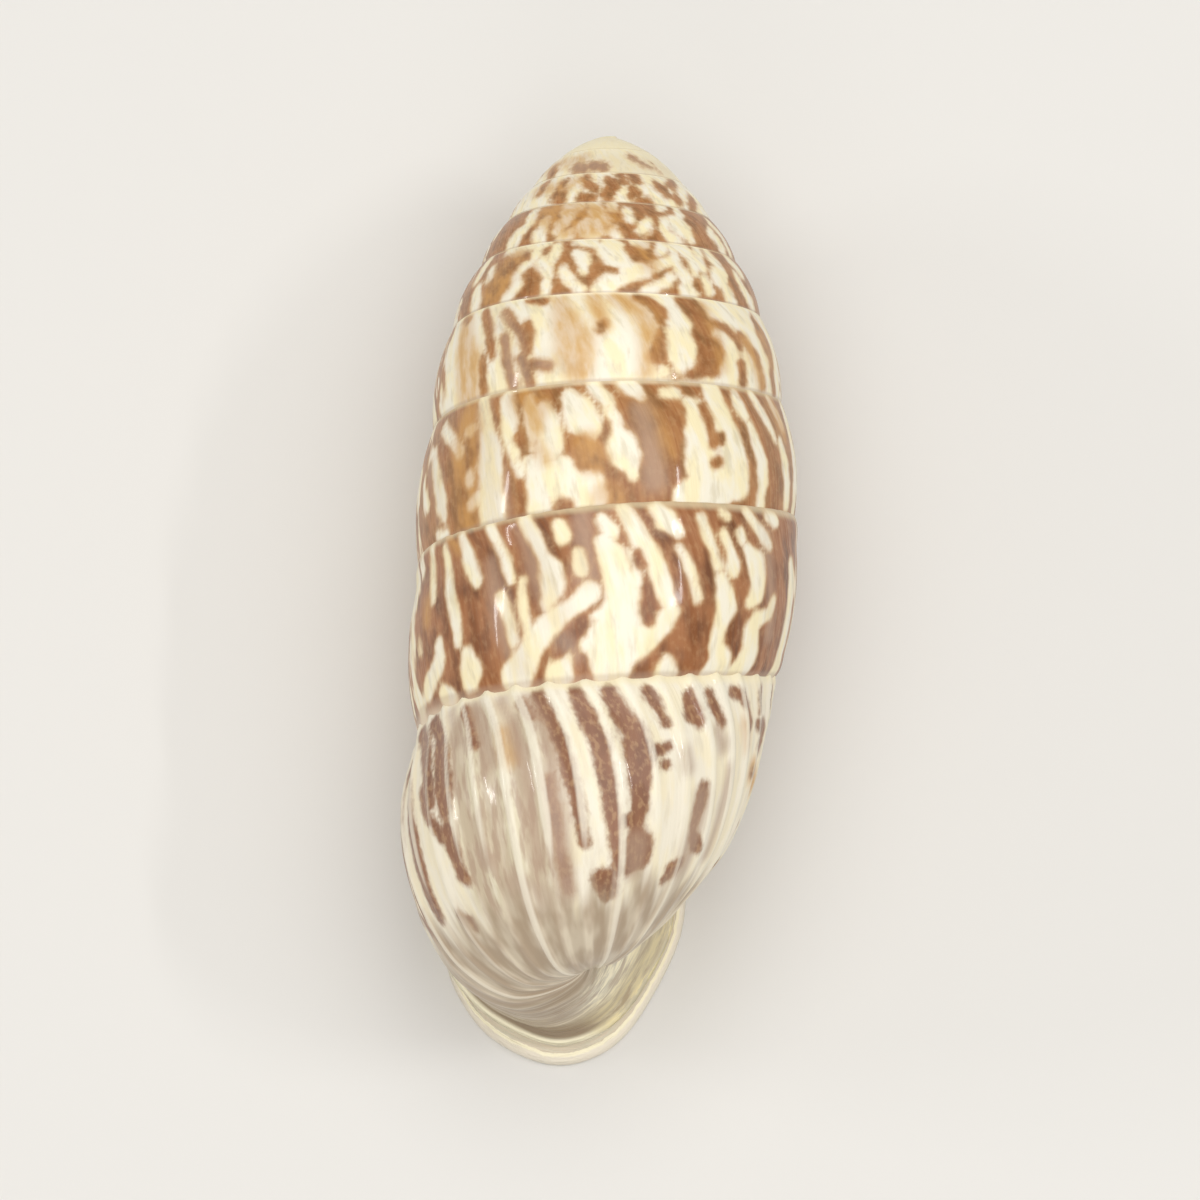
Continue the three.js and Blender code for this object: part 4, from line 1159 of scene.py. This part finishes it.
@dataclass(frozen=True)
class Pattern:
    """The drawn backs of the whorls, which fade into mottling on the sides."""

    drawings: tuple[Drawing, ...] = DRAWINGS
    starts: tuple[float, float] = (0.01, 0.04)
    deepest: float = 0.35
    tint_edge: float = 0.3

    def paint(self, growth: Growth, turn: np.ndarray,
              across: np.ndarray) -> tuple[np.ndarray, np.ndarray]:
        """Paint the drawings on a stretch of the winding.

        Args:
            growth: The winding.
            turn: Turn of each point.
            across: Place of each point across its whorl.

        Returns:
            Depth inside the pale tone, weight and grey share, and then the ochre, taupe and
            spare shares, as two arrays of vectors.
        """
        marks = np.zeros(turn.shape + (3,))
        tints = np.zeros(turn.shape + (3,))
        for drawing in self.drawings:
            place = turn - drawing.whorl
            pick = (place > 0) & (place < 0.5)
            if not pick.any():
                continue
            at, down_at = turn[pick], across[pick]
            radius, _ = growth.flank(np.array(drawing.whorl + 0.25), np.array(0.5))
            _, top = growth.suture(np.array(drawing.whorl + 0.25))
            _, low = growth.suture(np.array(drawing.whorl + 1.25))
            scales = (2 * math.pi * float(radius), float(low - top))
            side = drawing.ground.value
            tone = np.full(at.shape, side * self.deepest)
            for streak in drawing.over:
                tone = side * np.minimum(side * tone, -streak.inside(at, down_at, *scales))
            for streak in drawing.restored:
                tone = side * np.maximum(side * tone, streak.inside(at, down_at, *scales))
            marks[pick, 0] = np.clip(tone, -self.deepest, self.deepest)
            share = at - drawing.whorl
            marks[pick, 1] = smoothstep(*self.starts, share) * (1 - smoothstep(*drawing.ends, share))
            marks[pick, 2] = self.tint(drawing.grey, at, down_at, scales)
            tints[pick, 0] = self.tint(drawing.ochre, at, down_at, scales)
            tints[pick, 1] = self.tint(drawing.taupe, at, down_at, scales)
        return marks, tints

    def tint(self, drawn: tuple[Streak, ...], turn: np.ndarray, across: np.ndarray,
             scales: tuple[float, float]) -> np.ndarray:
        """Give the share of a tint that soft streaks lay down.

        Args:
            drawn: The streaks.
            turn: Turn of each place.
            across: Where each place lies across its whorl.
            scales: Millimetres in a turn, and across the whorl.

        Returns:
            The share at each place, from 0 to 1.
        """
        share = np.zeros(turn.shape)
        for streak in drawn:
            inside = streak.inside(turn, across, *scales)
            share = np.maximum(share, smoothstep(-self.tint_edge, self.tint_edge, inside))
        return share


def linear(red: int, green: int, blue: int) -> Colour:
    """Turn a display colour into a linear one.

    Args:
        red: Red, from 0 to 255.
        green: Green, from 0 to 255.
        blue: Blue, from 0 to 255.

    Returns:
        The linear colour, with its opacity.
    """
    def channel(value: int) -> float:
        """Turn one channel into a linear one."""
        share = value / 255
        return share / 12.92 if share <= 0.04045 else ((share + 0.055) / 1.055) ** 2.4
    return channel(red), channel(green), channel(blue), 1.0


class Nodes:
    """Short calls that add nodes to a material and link them."""

    def __init__(self, name: str) -> None:
        """Start an empty material.

        Args:
            name: Name of the material.
        """
        self.material = bpy.data.materials.new(name)
        self.material.use_nodes = True
        self.tree = self.material.node_tree
        self.shader = self.tree.nodes["Principled BSDF"]

    def add(self, kind: str, **settings: object) -> bpy.types.Node:
        """Add a node and give its settings.

        Args:
            kind: Type name of the node.
            settings: Attributes of the node.

        Returns:
            The node.
        """
        node = self.tree.nodes.new(kind)
        for name, value in settings.items():
            setattr(node, name, value)
        return node

    def feed(self, socket: Socket, value: object) -> None:
        """Link a socket to another, or set it.

        Args:
            socket: The socket to feed.
            value: Another node's output, or a plain value.
        """
        if isinstance(value, Socket):
            self.tree.links.new(value, socket)
        else:
            socket.default_value = value

    def math(self, operation: str, first: object, second: object = 0.0,
             third: object = 0.0) -> Socket:
        """Work out a number from others.

        Args:
            operation: Name of the sum.
            first: First number.
            second: Second number.
            third: Third number, where the sum has one.

        Returns:
            The number that comes out.
        """
        node = self.add("ShaderNodeMath", operation=operation)
        for socket, value in zip(node.inputs, (first, second, third)):
            self.feed(socket, value)
        return node.outputs[0]

    def times(self, first: object, second: object) -> Socket:
        """Multiply two numbers."""
        return self.math("MULTIPLY", first, second)

    def rest(self, share: object) -> Socket:
        """Give what a share leaves of 1."""
        return self.math("SUBTRACT", 1.0, share)

    def step(self, value: object, low: float, high: float, start: float = 0.0,
             end: float = 1.0) -> Socket:
        """Ease from start to end while a value goes from low to high.

        Args:
            value: The value that is read.
            low: Value where the step starts.
            high: Value where the step ends.
            start: What comes out before the step.
            end: What comes out after it.

        Returns:
            The eased number.
        """
        node = self.add("ShaderNodeMapRange", interpolation_type="SMOOTHSTEP")
        for socket, entry in zip(node.inputs, (value, low, high, start, end)):
            self.feed(socket, entry)
        return node.outputs[0]

    def mix(self, share: object, first: object, second: object) -> Socket:
        """Mix two colours.

        Args:
            share: Share of the second colour.
            first: First colour.
            second: Second colour.

        Returns:
            The mixed colour.
        """
        node = self.add("ShaderNodeMix", data_type="RGBA")
        self.feed(node.inputs[0], share)
        self.feed(node.inputs[6], first)
        self.feed(node.inputs[7], second)
        return node.outputs[2]

    def attribute(self, name: str) -> tuple[Socket, ...]:
        """Read a vector attribute.

        Args:
            name: Name of the attribute.

        Returns:
            Its three numbers.
        """
        node = self.add("ShaderNodeAttribute", attribute_name=name)
        parts = self.add("ShaderNodeSeparateXYZ")
        self.feed(parts.inputs[0], node.outputs["Vector"])
        return tuple(parts.outputs)

    def vector(self, x: object, y: object, z: object = 0.0) -> Socket:
        """Join three numbers in a vector.

        Args:
            x: First number.
            y: Second number.
            z: Third number.

        Returns:
            The vector.
        """
        node = self.add("ShaderNodeCombineXYZ")
        for socket, value in zip(node.inputs, (x, y, z)):
            self.feed(socket, value)
        return node.outputs[0]

    def noise(self, place: object, scale: float, detail: float = 2.0,
              roughness: float = 0.5) -> Socket:
        """Read smooth noise at a place.

        Args:
            place: Where to read it.
            scale: How many waves there are to a unit.
            detail: How many finer layers are added.
            roughness: How strong each finer layer is.

        Returns:
            The noise, from about 0.2 to 0.8.
        """
        node = self.add("ShaderNodeTexNoise", noise_dimensions="3D")
        self.feed(node.inputs["Vector"], place)
        node.inputs["Scale"].default_value = scale
        node.inputs["Detail"].default_value = detail
        node.inputs["Roughness"].default_value = roughness
        return node.outputs[0]

    def bump(self, height: object, distance: float, strength: float,
             normal: object = None) -> Socket:
        """Bend the surface's shading by a height.

        Args:
            height: The height, as a share of the distance.
            distance: Height in metres of a full share.
            strength: How much of the bending shows.
            normal: Another bump that this one adds to.

        Returns:
            The bent normal.
        """
        node = self.add("ShaderNodeBump")
        node.inputs["Strength"].default_value = strength
        node.inputs["Distance"].default_value = distance
        self.feed(node.inputs["Height"], height)
        if normal is not None:
            self.feed(node.inputs["Normal"], normal)
        return node.outputs[0]


@dataclass(frozen=True)
class Grain:
    """Noise that is stretched along the growth lines.

    It has so many waves in a turn and across a whorl, and each grain reads its own layer.
    """

    turns: float
    whorls: float
    layer: float
    detail: float = 2.0


class Surface:
    """What the finish reads off the shell at each point."""

    def __init__(self, nodes: Nodes) -> None:
        """Read what the winding stored.

        Args:
            nodes: The material's nodes.
        """
        self.nodes = nodes
        self.line, self.across, self.rib = nodes.attribute("growth")
        stage, within, self.share = nodes.attribute("zones")
        self.drawing, self.weight, self.grey = nodes.attribute("marks")
        self.ochre, self.taupe, _ = nodes.attribute("tints")
        self.neck = nodes.math("ADD", stage, within)
        self.late = nodes.step(self.line, 7.7, 8.1)

    def along(self, grain: Grain, line: object = None) -> Socket:
        """Read a grain.

        Args:
            grain: The grain.
            line: Number of the growth line, where it isn't the shell's own.

        Returns:
            The noise, from about 0.2 to 0.8.
        """
        around = self.nodes.times(self.line if line is None else line, grain.turns)
        down = self.nodes.times(self.across, grain.whorls)
        place = self.nodes.vector(around, down, grain.layer)
        return self.nodes.noise(place, 1.0, grain.detail)


@dataclass(frozen=True)
class ShellFinish:
    """Polished shell: brown ground, cream flames, a beige base and a pale lip."""

    brown: Colour = linear(166, 110, 68)
    dark_brown: Colour = linear(114, 68, 36)
    amber: Colour = linear(144, 82, 32)
    umber: Colour = linear(134, 94, 72)
    ochre: Colour = linear(204, 152, 80)
    tan: Colour = linear(214, 176, 128)
    taupe: Colour = linear(176, 148, 126)
    cream: Colour = linear(247, 234, 192)
    white: Colour = linear(245, 238, 218)
    grey: Colour = linear(214, 202, 172)
    beige: Colour = linear(180, 159, 134)
    pale_beige: Colour = linear(220, 206, 182)
    dark_beige: Colour = linear(158, 138, 112)
    lip: Colour = linear(214, 206, 182)
    rim: Colour = linear(238, 228, 208)
    ridge: Colour = linear(255, 246, 214)
    crest: Colour = linear(250, 234, 182)
    mouth: Colour = linear(232, 212, 186)
    roughness: float = 0.42
    specular: float = 0.35
    coat: float = 0.35
    coat_roughness: float = 0.09
    bending: float = 1.5
    line_relief: float = 0.00003
    band_relief: float = 0.00012
    sway: Grain = Grain(22.0, 1.0, 0.0)
    flames: Grain = Grain(46.0, 1.3, 1.0)
    blobs: Grain = Grain(76.0, 3.6, 3.0)
    wobble: Grain = Grain(64.0, 6.0, 5.0, 1.0)
    ragged: Grain = Grain(240.0, 20.0, 6.0)
    tone: Grain = Grain(60.0, 3.4, 7.0)
    specks: Grain = Grain(190.0, 17.0, 8.0)
    light: Grain = Grain(60.0, 2.5, 11.0, 3.0)
    smudges: Grain = Grain(120.0, 4.0, 12.0, 3.0)
    base_streaks: Grain = Grain(44.0, 2.5, 14.0)
    base_edge: Grain = Grain(60.0, 1.0, 15.0)
    fine_lines: Grain = Grain(330.0, 1.0, 16.0)
    veins: Grain = Grain(84.0, 0.8, 17.0, 1.0)
    clouds: Grain = Grain(150.0, 4.0, 18.0, 3.0)

    def mottle(self, at: Surface) -> Socket:
        """Mottle the sides and the belly.

        Args:
            at: What is read off the shell.

        Returns:
            The depth inside the pale tone.
        """
        nodes = at.nodes
        bent = nodes.math("MULTIPLY_ADD", at.along(self.sway), 0.030, at.line)
        flames = at.along(self.flames, bent)
        blobs = at.along(self.blobs, bent)
        mixed = nodes.math("MULTIPLY_ADD", blobs, 0.55, nodes.times(flames, 0.75))
        mixed = nodes.math("MULTIPLY_ADD", at.rib, 0.10, mixed)
        return nodes.times(nodes.math("SUBTRACT", mixed, 0.655), 2.6)

    def ground(self, at: Surface) -> Socket:
        """Paint the brown ground, with its veins, specks and tints.

        Args:
            at: What is read off the shell.

        Returns:
            The colour of the ground.
        """
        nodes = at.nodes
        tone = at.along(self.tone)
        ground = nodes.mix(nodes.step(tone, 0.3, 0.62), self.dark_brown, self.brown)
        ground = nodes.mix(nodes.step(at.line, 6.9, 6.4, 0.0, 0.22), ground, self.ochre)
        vein = at.along(self.veins)
        vein = nodes.times(nodes.step(vein, 0.44, 0.5), nodes.step(vein, 0.56, 0.5))
        ground = nodes.mix(nodes.times(vein, 0.42), ground, self.amber)
        ground = nodes.mix(nodes.times(at.late, 0.7), ground, self.umber)
        speck = nodes.step(at.along(self.specks), 0.46, 0.68)
        speck = nodes.times(speck, nodes.step(at.late, 0.0, 1.0, 0.14, 0.3))
        ground = nodes.mix(speck, ground, self.tan)
        patchy = nodes.step(tone, 0.3, 0.65, 0.15, 0.8)
        ground = nodes.mix(nodes.times(at.ochre, patchy), ground, self.ochre)
        return nodes.mix(nodes.times(at.taupe, 0.6), ground, self.taupe)

    def flame(self, at: Surface) -> Socket:
        """Paint the cream flames, with their smudges, grey bands and tints.

        Args:
            at: What is read off the shell.

        Returns:
            The colour of the flames.
        """
        nodes = at.nodes
        light = at.along(self.light)
        smudge = at.along(self.smudges)
        flame = nodes.mix(nodes.step(light, 0.38, 0.6), self.cream, self.white)
        flame = nodes.mix(nodes.step(smudge, 0.5, 0.72, 0.0, 0.6), flame, self.grey)
        flame = nodes.mix(nodes.times(at.late, 0.5), flame, self.rim)
        flame = nodes.mix(nodes.times(nodes.step(at.line, 1.7, 0.9), 0.8), flame, self.cream)
        greyed = nodes.times(at.grey, nodes.step(smudge, 0.35, 0.6, 0.5, 1.0))
        flame = nodes.mix(greyed, flame, self.grey)
        cloud = nodes.step(at.along(self.clouds), 0.44, 0.62, 0.0, 0.65)
        flame = nodes.mix(nodes.times(at.grey, cloud), flame, self.taupe)
        groove = nodes.times(at.grey, nodes.step(at.rib, 0.3, 0.0, 0.0, 0.4))
        flame = nodes.mix(groove, flame, self.taupe)
        golden = nodes.times(at.ochre, nodes.step(light, 0.3, 0.65, 0.9, 0.5))
        flame = nodes.mix(golden, flame, self.ochre)
        dim = nodes.times(at.taupe, nodes.step(at.line, 7.6, 7.9, 0.2, 0.75))
        return nodes.mix(dim, flame, self.taupe)

    def pattern(self, at: Surface) -> Socket:
        """Lay the cream flames over the brown ground, with a soft halo between them.

        Args:
            at: What is read off the shell.

        Returns:
            The colour of the whorls.
        """
        nodes = at.nodes
        wobble = nodes.math("SUBTRACT", at.along(self.wobble), 0.5)
        ragged = nodes.math("SUBTRACT", at.along(self.ragged), 0.5)
        drawn = nodes.math("MULTIPLY_ADD", wobble, 0.26, at.drawing)
        drawn = nodes.math("MULTIPLY_ADD", ragged, nodes.step(at.late, 0.0, 1.0, 0.09, 0.2), drawn)
        free = nodes.times(self.mottle(at), nodes.rest(at.weight))
        depth = nodes.math("ADD", nodes.times(drawn, at.weight), free)
        depth = nodes.math("ADD", depth, nodes.rest(nodes.step(at.line, 0.95, 1.25)))
        cover = nodes.step(depth, -0.075, 0.075)
        edge = nodes.times(nodes.step(depth, -0.16, -0.01), nodes.rest(nodes.step(depth, 0.02, 0.16)))
        colour = nodes.mix(cover, self.ground(at), self.flame(at))
        halo = nodes.mix(nodes.times(at.late, 0.8), self.tan, self.taupe)
        return nodes.mix(nodes.times(edge, 0.4), colour, halo)

    def base(self, at: Surface) -> Socket:
        """Paint the beige base and the banded neck, with painted shade in the grooves between the
        base's ribs.

        Args:
            at: What is read off the shell.

        Returns:
            The colour of the base.
        """
        nodes = at.nodes
        streak = at.along(self.base_streaks)
        colour = nodes.mix(nodes.step(streak, 0.4, 0.66), self.beige, self.pale_beige)
        band = nodes.noise(nodes.vector(nodes.times(at.neck, 15.0), at.across, 2.0), 1.0, 1.0)
        band = nodes.times(nodes.step(at.neck, 1.0, 1.15), nodes.step(band, 0.36, 0.6, 0.25, 1.0))
        colour = nodes.mix(band, colour, self.dark_beige)
        # Painted shade: the grooves between the ribs are darkened with dark beige.
        colour = nodes.mix(nodes.step(at.rib, 0.25, 0.0, 0.0, 0.35), colour, self.dark_beige)
        return nodes.mix(nodes.step(at.rib, 0.4, 0.85, 0.0, 0.7), colour, self.rim)

    def flange(self, at: Surface, colour: object) -> Socket:
        """Paint the crest, the flare with its wavy line, the rim and the streaked inner side.

        Args:
            at: What is read off the shell.
            colour: The colour so far.

        Returns:
            The colour with the lip.
        """
        nodes, neck, share = at.nodes, at.neck, at.share
        side = nodes.times(nodes.step(share, 6.4, 7.3), nodes.step(share, 11.9, 11.0))
        grain = nodes.noise(nodes.vector(nodes.times(neck, 14.0), share, 4.0), 1.5, 4.0, 0.6)
        yellow = nodes.mix(nodes.step(grain, 0.36, 0.52), self.beige, self.lip)
        yellow = nodes.mix(nodes.step(grain, 0.5, 0.6), yellow, self.ridge)
        golden = nodes.times(nodes.step(neck, 1.6, 1.9), nodes.step(grain, 0.4, 0.62, 0.2, 0.75))
        yellow = nodes.mix(golden, yellow, self.crest)
        colour = nodes.mix(nodes.times(side, nodes.step(neck, 1.15, 1.75)), colour, yellow)
        patched = nodes.times(side, nodes.step(grain, 0.46, 0.56))
        ridge = nodes.mix(side, self.ridge, self.grey)
        ridge = nodes.mix(patched, ridge, self.crest)
        shade = nodes.times(nodes.step(neck, 1.78, 1.9), 0.35)
        colour = nodes.mix(shade, colour, self.dark_beige)
        colour = nodes.mix(nodes.step(neck, 2.03, 2.07), colour, ridge)
        cloud = nodes.noise(nodes.vector(nodes.times(neck, 20.0), share, 9.0), 2.2, 3.0)
        flare = nodes.mix(nodes.step(cloud, 0.35, 0.6), self.lip, self.pale_beige)
        colour = nodes.mix(nodes.step(neck, 2.12, 2.16), colour, flare)
        wave = nodes.noise(nodes.vector(share, 0.0, 5.0), 2.6, 3.0, 0.6)
        waved = nodes.math("MULTIPLY_ADD", nodes.math("SUBTRACT", wave, 0.5), 0.11, neck)
        colour = nodes.mix(nodes.step(waved, 2.4, 2.412), colour, self.ridge)
        return nodes.mix(nodes.step(waved, 2.44, 2.47), colour, self.rim)

    def colours(self, at: Surface) -> Socket:
        """Put the colours of the whorls, the sutures, the base, the lip and the mouth together.

        Args:
            at: What is read off the shell.

        Returns:
            The colour of the shell.
        """
        nodes = at.nodes
        colour = nodes.mix(nodes.step(at.rib, 0.45, 0.9, 0.0, 0.6), self.pattern(at), self.white)
        lower = nodes.times(nodes.step(at.across, 0.955, 0.99), nodes.step(at.line, 7.55, 7.5))
        colour = nodes.mix(nodes.times(lower, 0.4), colour, self.taupe)
        suture = nodes.rest(nodes.step(at.across, 0.0, 0.05))
        colour = nodes.mix(nodes.times(suture, 0.5), colour, self.cream)
        base = self.base(at)
        faded = nodes.math("MULTIPLY_ADD", at.along(self.base_edge), 0.7, at.across)
        colour = nodes.mix(nodes.step(faded, 1.6, 1.95), colour, base)
        colour = nodes.mix(nodes.step(at.neck, 1.1, 1.5), colour, base)
        colour = self.flange(at, colour)
        covered = nodes.times(nodes.step(at.across, 0.98, 1.1), nodes.step(at.line, 7.9, 7.8))
        covered = nodes.math("MAXIMUM", covered, nodes.step(at.neck, 3.0, 3.3))
        return nodes.mix(covered, colour, self.mouth)

    def relief(self, at: Surface) -> Socket:
        """Bend the shading along the growth lines and the bands of the neck.

        Args:
            at: What is read off the shell.

        Returns:
            The bent normal.
        """
        nodes = at.nodes
        lines = nodes.times(at.along(self.fine_lines), nodes.step(at.across, 1.8, 1.1))
        fine = nodes.bump(lines, self.line_relief, 0.5)
        bands = nodes.noise(nodes.vector(nodes.times(at.neck, 30.0), at.share, 1.0), 1.0)
        bands = nodes.times(bands, nodes.step(at.neck, 1.1, 1.6))
        bands = nodes.times(bands, nodes.step(at.share, 6.4, 7.3, 1.0, 0.3))
        return nodes.bump(bands, self.band_relief, 0.7, fine)

    def make(self) -> bpy.types.Material:
        """Make the material.

        Returns:
            The finished material.
        """
        nodes = Nodes("polished_shell_finish")
        at = Surface(nodes)
        shader = nodes.shader
        nodes.feed(shader.inputs["Base Color"], self.colours(at))
        nodes.feed(shader.inputs["Normal"], self.relief(at))
        shader.inputs["Roughness"].default_value = self.roughness
        shader.inputs["Specular IOR Level"].default_value = self.specular
        shader.inputs["Coat Weight"].default_value = self.coat
        shader.inputs["Coat Roughness"].default_value = self.coat_roughness
        shader.inputs["IOR"].default_value = self.bending
        return nodes.material


@dataclass
class Shell:
    """The whole shell, grown as one piece."""

    growth: Growth = field(default_factory=Growth)
    ribs: Ribs = field(default_factory=Ribs)
    pattern: Pattern = field(default_factory=Pattern)
    finish: ShellFinish = field(default_factory=ShellFinish)
    name: str = "cerion_shell"
    merge_distance: float = 1e-6
    least_edge: float = 1e-7
    outside_from: float = -0.005

    def build(self) -> bpy.types.Object:
        """Wind both sheets and join them in one piece.

        Returns:
            The shell.
        """
        sheets = [Spire(self.growth, self.ribs).rows(), LastWhorl(self.growth, self.ribs).rows()]
        pieces = []
        for sheet in sheets:
            self.paint(sheet)
            piece = sheet.wind()
            self.close(piece)
            pieces.append(piece)
        bpy.ops.object.select_all(action="DESELECT")
        for piece in pieces:
            piece.select_set(True)
        bpy.context.view_layer.objects.active = pieces[0]
        bpy.ops.object.join()
        shell = bpy.context.active_object
        shell.name = self.name
        shell.data.name = self.name
        bpy.ops.object.shade_smooth()
        return shell

    def paint(self, sheet: Winding) -> None:
        """Store the drawings and their tints with a sheet.

        Args:
            sheet: The sheet, ready to be wound.
        """
        marks, tints = self.pattern.paint(self.growth, sheet.turn, sheet.across)
        sheet.fields["marks"] = marks
        sheet.fields["tints"] = tints

    def close(self, piece: bpy.types.Object) -> None:
        """Merge the rows that meet, and turn the faces outwards.

        Args:
            piece: A wound sheet.
        """
        bpy.ops.object.select_all(action="DESELECT")
        piece.select_set(True)
        bpy.context.view_layer.objects.active = piece
        bpy.ops.object.mode_set(mode="EDIT")
        bpy.ops.mesh.select_all(action="SELECT")
        bpy.ops.mesh.remove_doubles(threshold=self.merge_distance)
        bpy.ops.mesh.dissolve_degenerate(threshold=self.least_edge)
        bpy.ops.object.mode_set(mode="OBJECT")
        low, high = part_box("shell")
        middle = Vector((0.0, 0.0, (low[2] + high[2]) / 2))
        lean = 0.0
        for face in piece.data.polygons:
            out = face.center - middle
            out.y = 0.0
            if face.center.y > self.outside_from:
                lean += face.normal.dot(out) * face.area
        if lean < 0:
            bpy.ops.object.mode_set(mode="EDIT")
            bpy.ops.mesh.select_all(action="SELECT")
            bpy.ops.mesh.flip_normals()
            bpy.ops.object.mode_set(mode="OBJECT")

    def dress(self, shell: bpy.types.Object) -> None:
        """Give the shell its finish and its place in the frame.

        Args:
            shell: The shell.
        """
        shell.data.materials.clear()
        shell.data.materials.append(self.finish.make())
        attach(shell, "root")
        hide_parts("shell")


@dataclass(frozen=True)
class Lamp:
    """A soft light that faces the shell, with its sizes in metres and its power in watts."""

    name: str
    place: tuple[float, float, float]
    side: float
    power: float
    narrow: float = 0.0

    def hang(self) -> None:
        """Hang the light, which is a strip where it has a narrow side."""
        light = bpy.data.lights.new(self.name, "AREA")
        light.size = self.side
        if self.narrow:
            light.shape = "RECTANGLE"
            light.size_y = self.narrow
        light.energy = self.power
        lamp = bpy.data.objects.new(self.name, light)
        lamp.location = self.place
        lamp.rotation_euler = (-Vector(self.place)).to_track_quat("-Z", "Y").to_euler()
        bpy.context.scene.collection.objects.link(lamp)


LAMPS = (
    Lamp("overhead", (0.01, 0.01, 0.34), 0.4, 0.87),
    Lamp("left_glint", (-0.285, 0.03, 0.15), 0.09, 0.1, 0.008),
    Lamp("right_glint", (0.24, 0.03, 0.26), 0.09, 0.12, 0.008),
    Lamp("front_fill", (-0.02, -0.27, 0.15), 0.12, 0.08),
)


@dataclass
class Studio:
    """Pale floor, soft lights and the camera that looks down on the shell's back."""

    floor_side: float = 1.2
    floor_colour: Colour = linear(226, 224, 220)
    floor_roughness: float = 0.9
    air_colour: Colour = linear(246, 243, 238)
    air_power: float = 0.5
    lamps: tuple[Lamp, ...] = LAMPS
    tilt_deg: float = 11.0
    roll_deg: float = 1.4
    distance: float = 0.4
    sensor: float = 36.0
    clip: tuple[float, float] = (0.01, 10.0)
    aim: tuple[float, float, float] = (0.0, -0.00057, 0.0059)

    def build(self) -> None:
        """Make the floor, the lights and the camera."""
        self.floor()
        self.lights()
        self.camera()

    def floor(self) -> None:
        """Lay a plain pale floor."""
        bpy.ops.object.select_all(action="DESELECT")
        bpy.ops.mesh.primitive_plane_add(size=self.floor_side)
        floor = bpy.context.active_object
        floor.name = "floor"
        nodes = Nodes("floor_paper")
        nodes.shader.inputs["Base Color"].default_value = self.floor_colour
        nodes.shader.inputs["Roughness"].default_value = self.floor_roughness
        floor.data.materials.append(nodes.material)

    def lights(self) -> None:
        """Hang a large soft light above, a strip at each side and a small light in front."""
        world = bpy.data.worlds.new("studio_air")
        bpy.context.scene.world = world
        world.use_nodes = True
        air = world.node_tree.nodes["Background"]
        air.inputs["Color"].default_value = self.air_colour
        air.inputs["Strength"].default_value = self.air_power
        for lamp in self.lamps:
            lamp.hang()
        view = bpy.context.scene.view_settings
        view.view_transform = "Standard"
        view.look = "None"

    def camera(self) -> None:
        """Stand the camera over the shell, leaning towards its base."""
        data = bpy.data.cameras.new("camera")
        data.sensor_width = self.sensor
        data.lens = self.sensor * self.distance / (PHOTO_SIDE_PX / PHOTO_PX_PER_MM * MM)
        data.clip_start, data.clip_end = self.clip
        camera = bpy.data.objects.new("camera", data)
        bpy.context.scene.collection.objects.link(camera)
        tilt = math.radians(self.tilt_deg)
        back = Vector((0, -math.sin(tilt), math.cos(tilt)))
        camera.location = Vector(self.aim) + back * self.distance
        turned = Matrix.Rotation(tilt, 4, "X") @ Matrix.Rotation(math.radians(self.roll_deg), 4, "Z")
        camera.rotation_euler = turned.to_euler()
        bpy.context.scene.camera = camera


def main() -> None:
    """Build the shell and the studio, and log the shell's face count."""
    logging.basicConfig(level=logging.INFO, format="%(name)s: %(message)s")
    shell = Shell()
    piece = shell.build()
    shell.dress(piece)
    log.info("%s: %d faces", piece.name, len(piece.data.polygons))
    Studio().build()


if __name__ == "__main__":
    main()
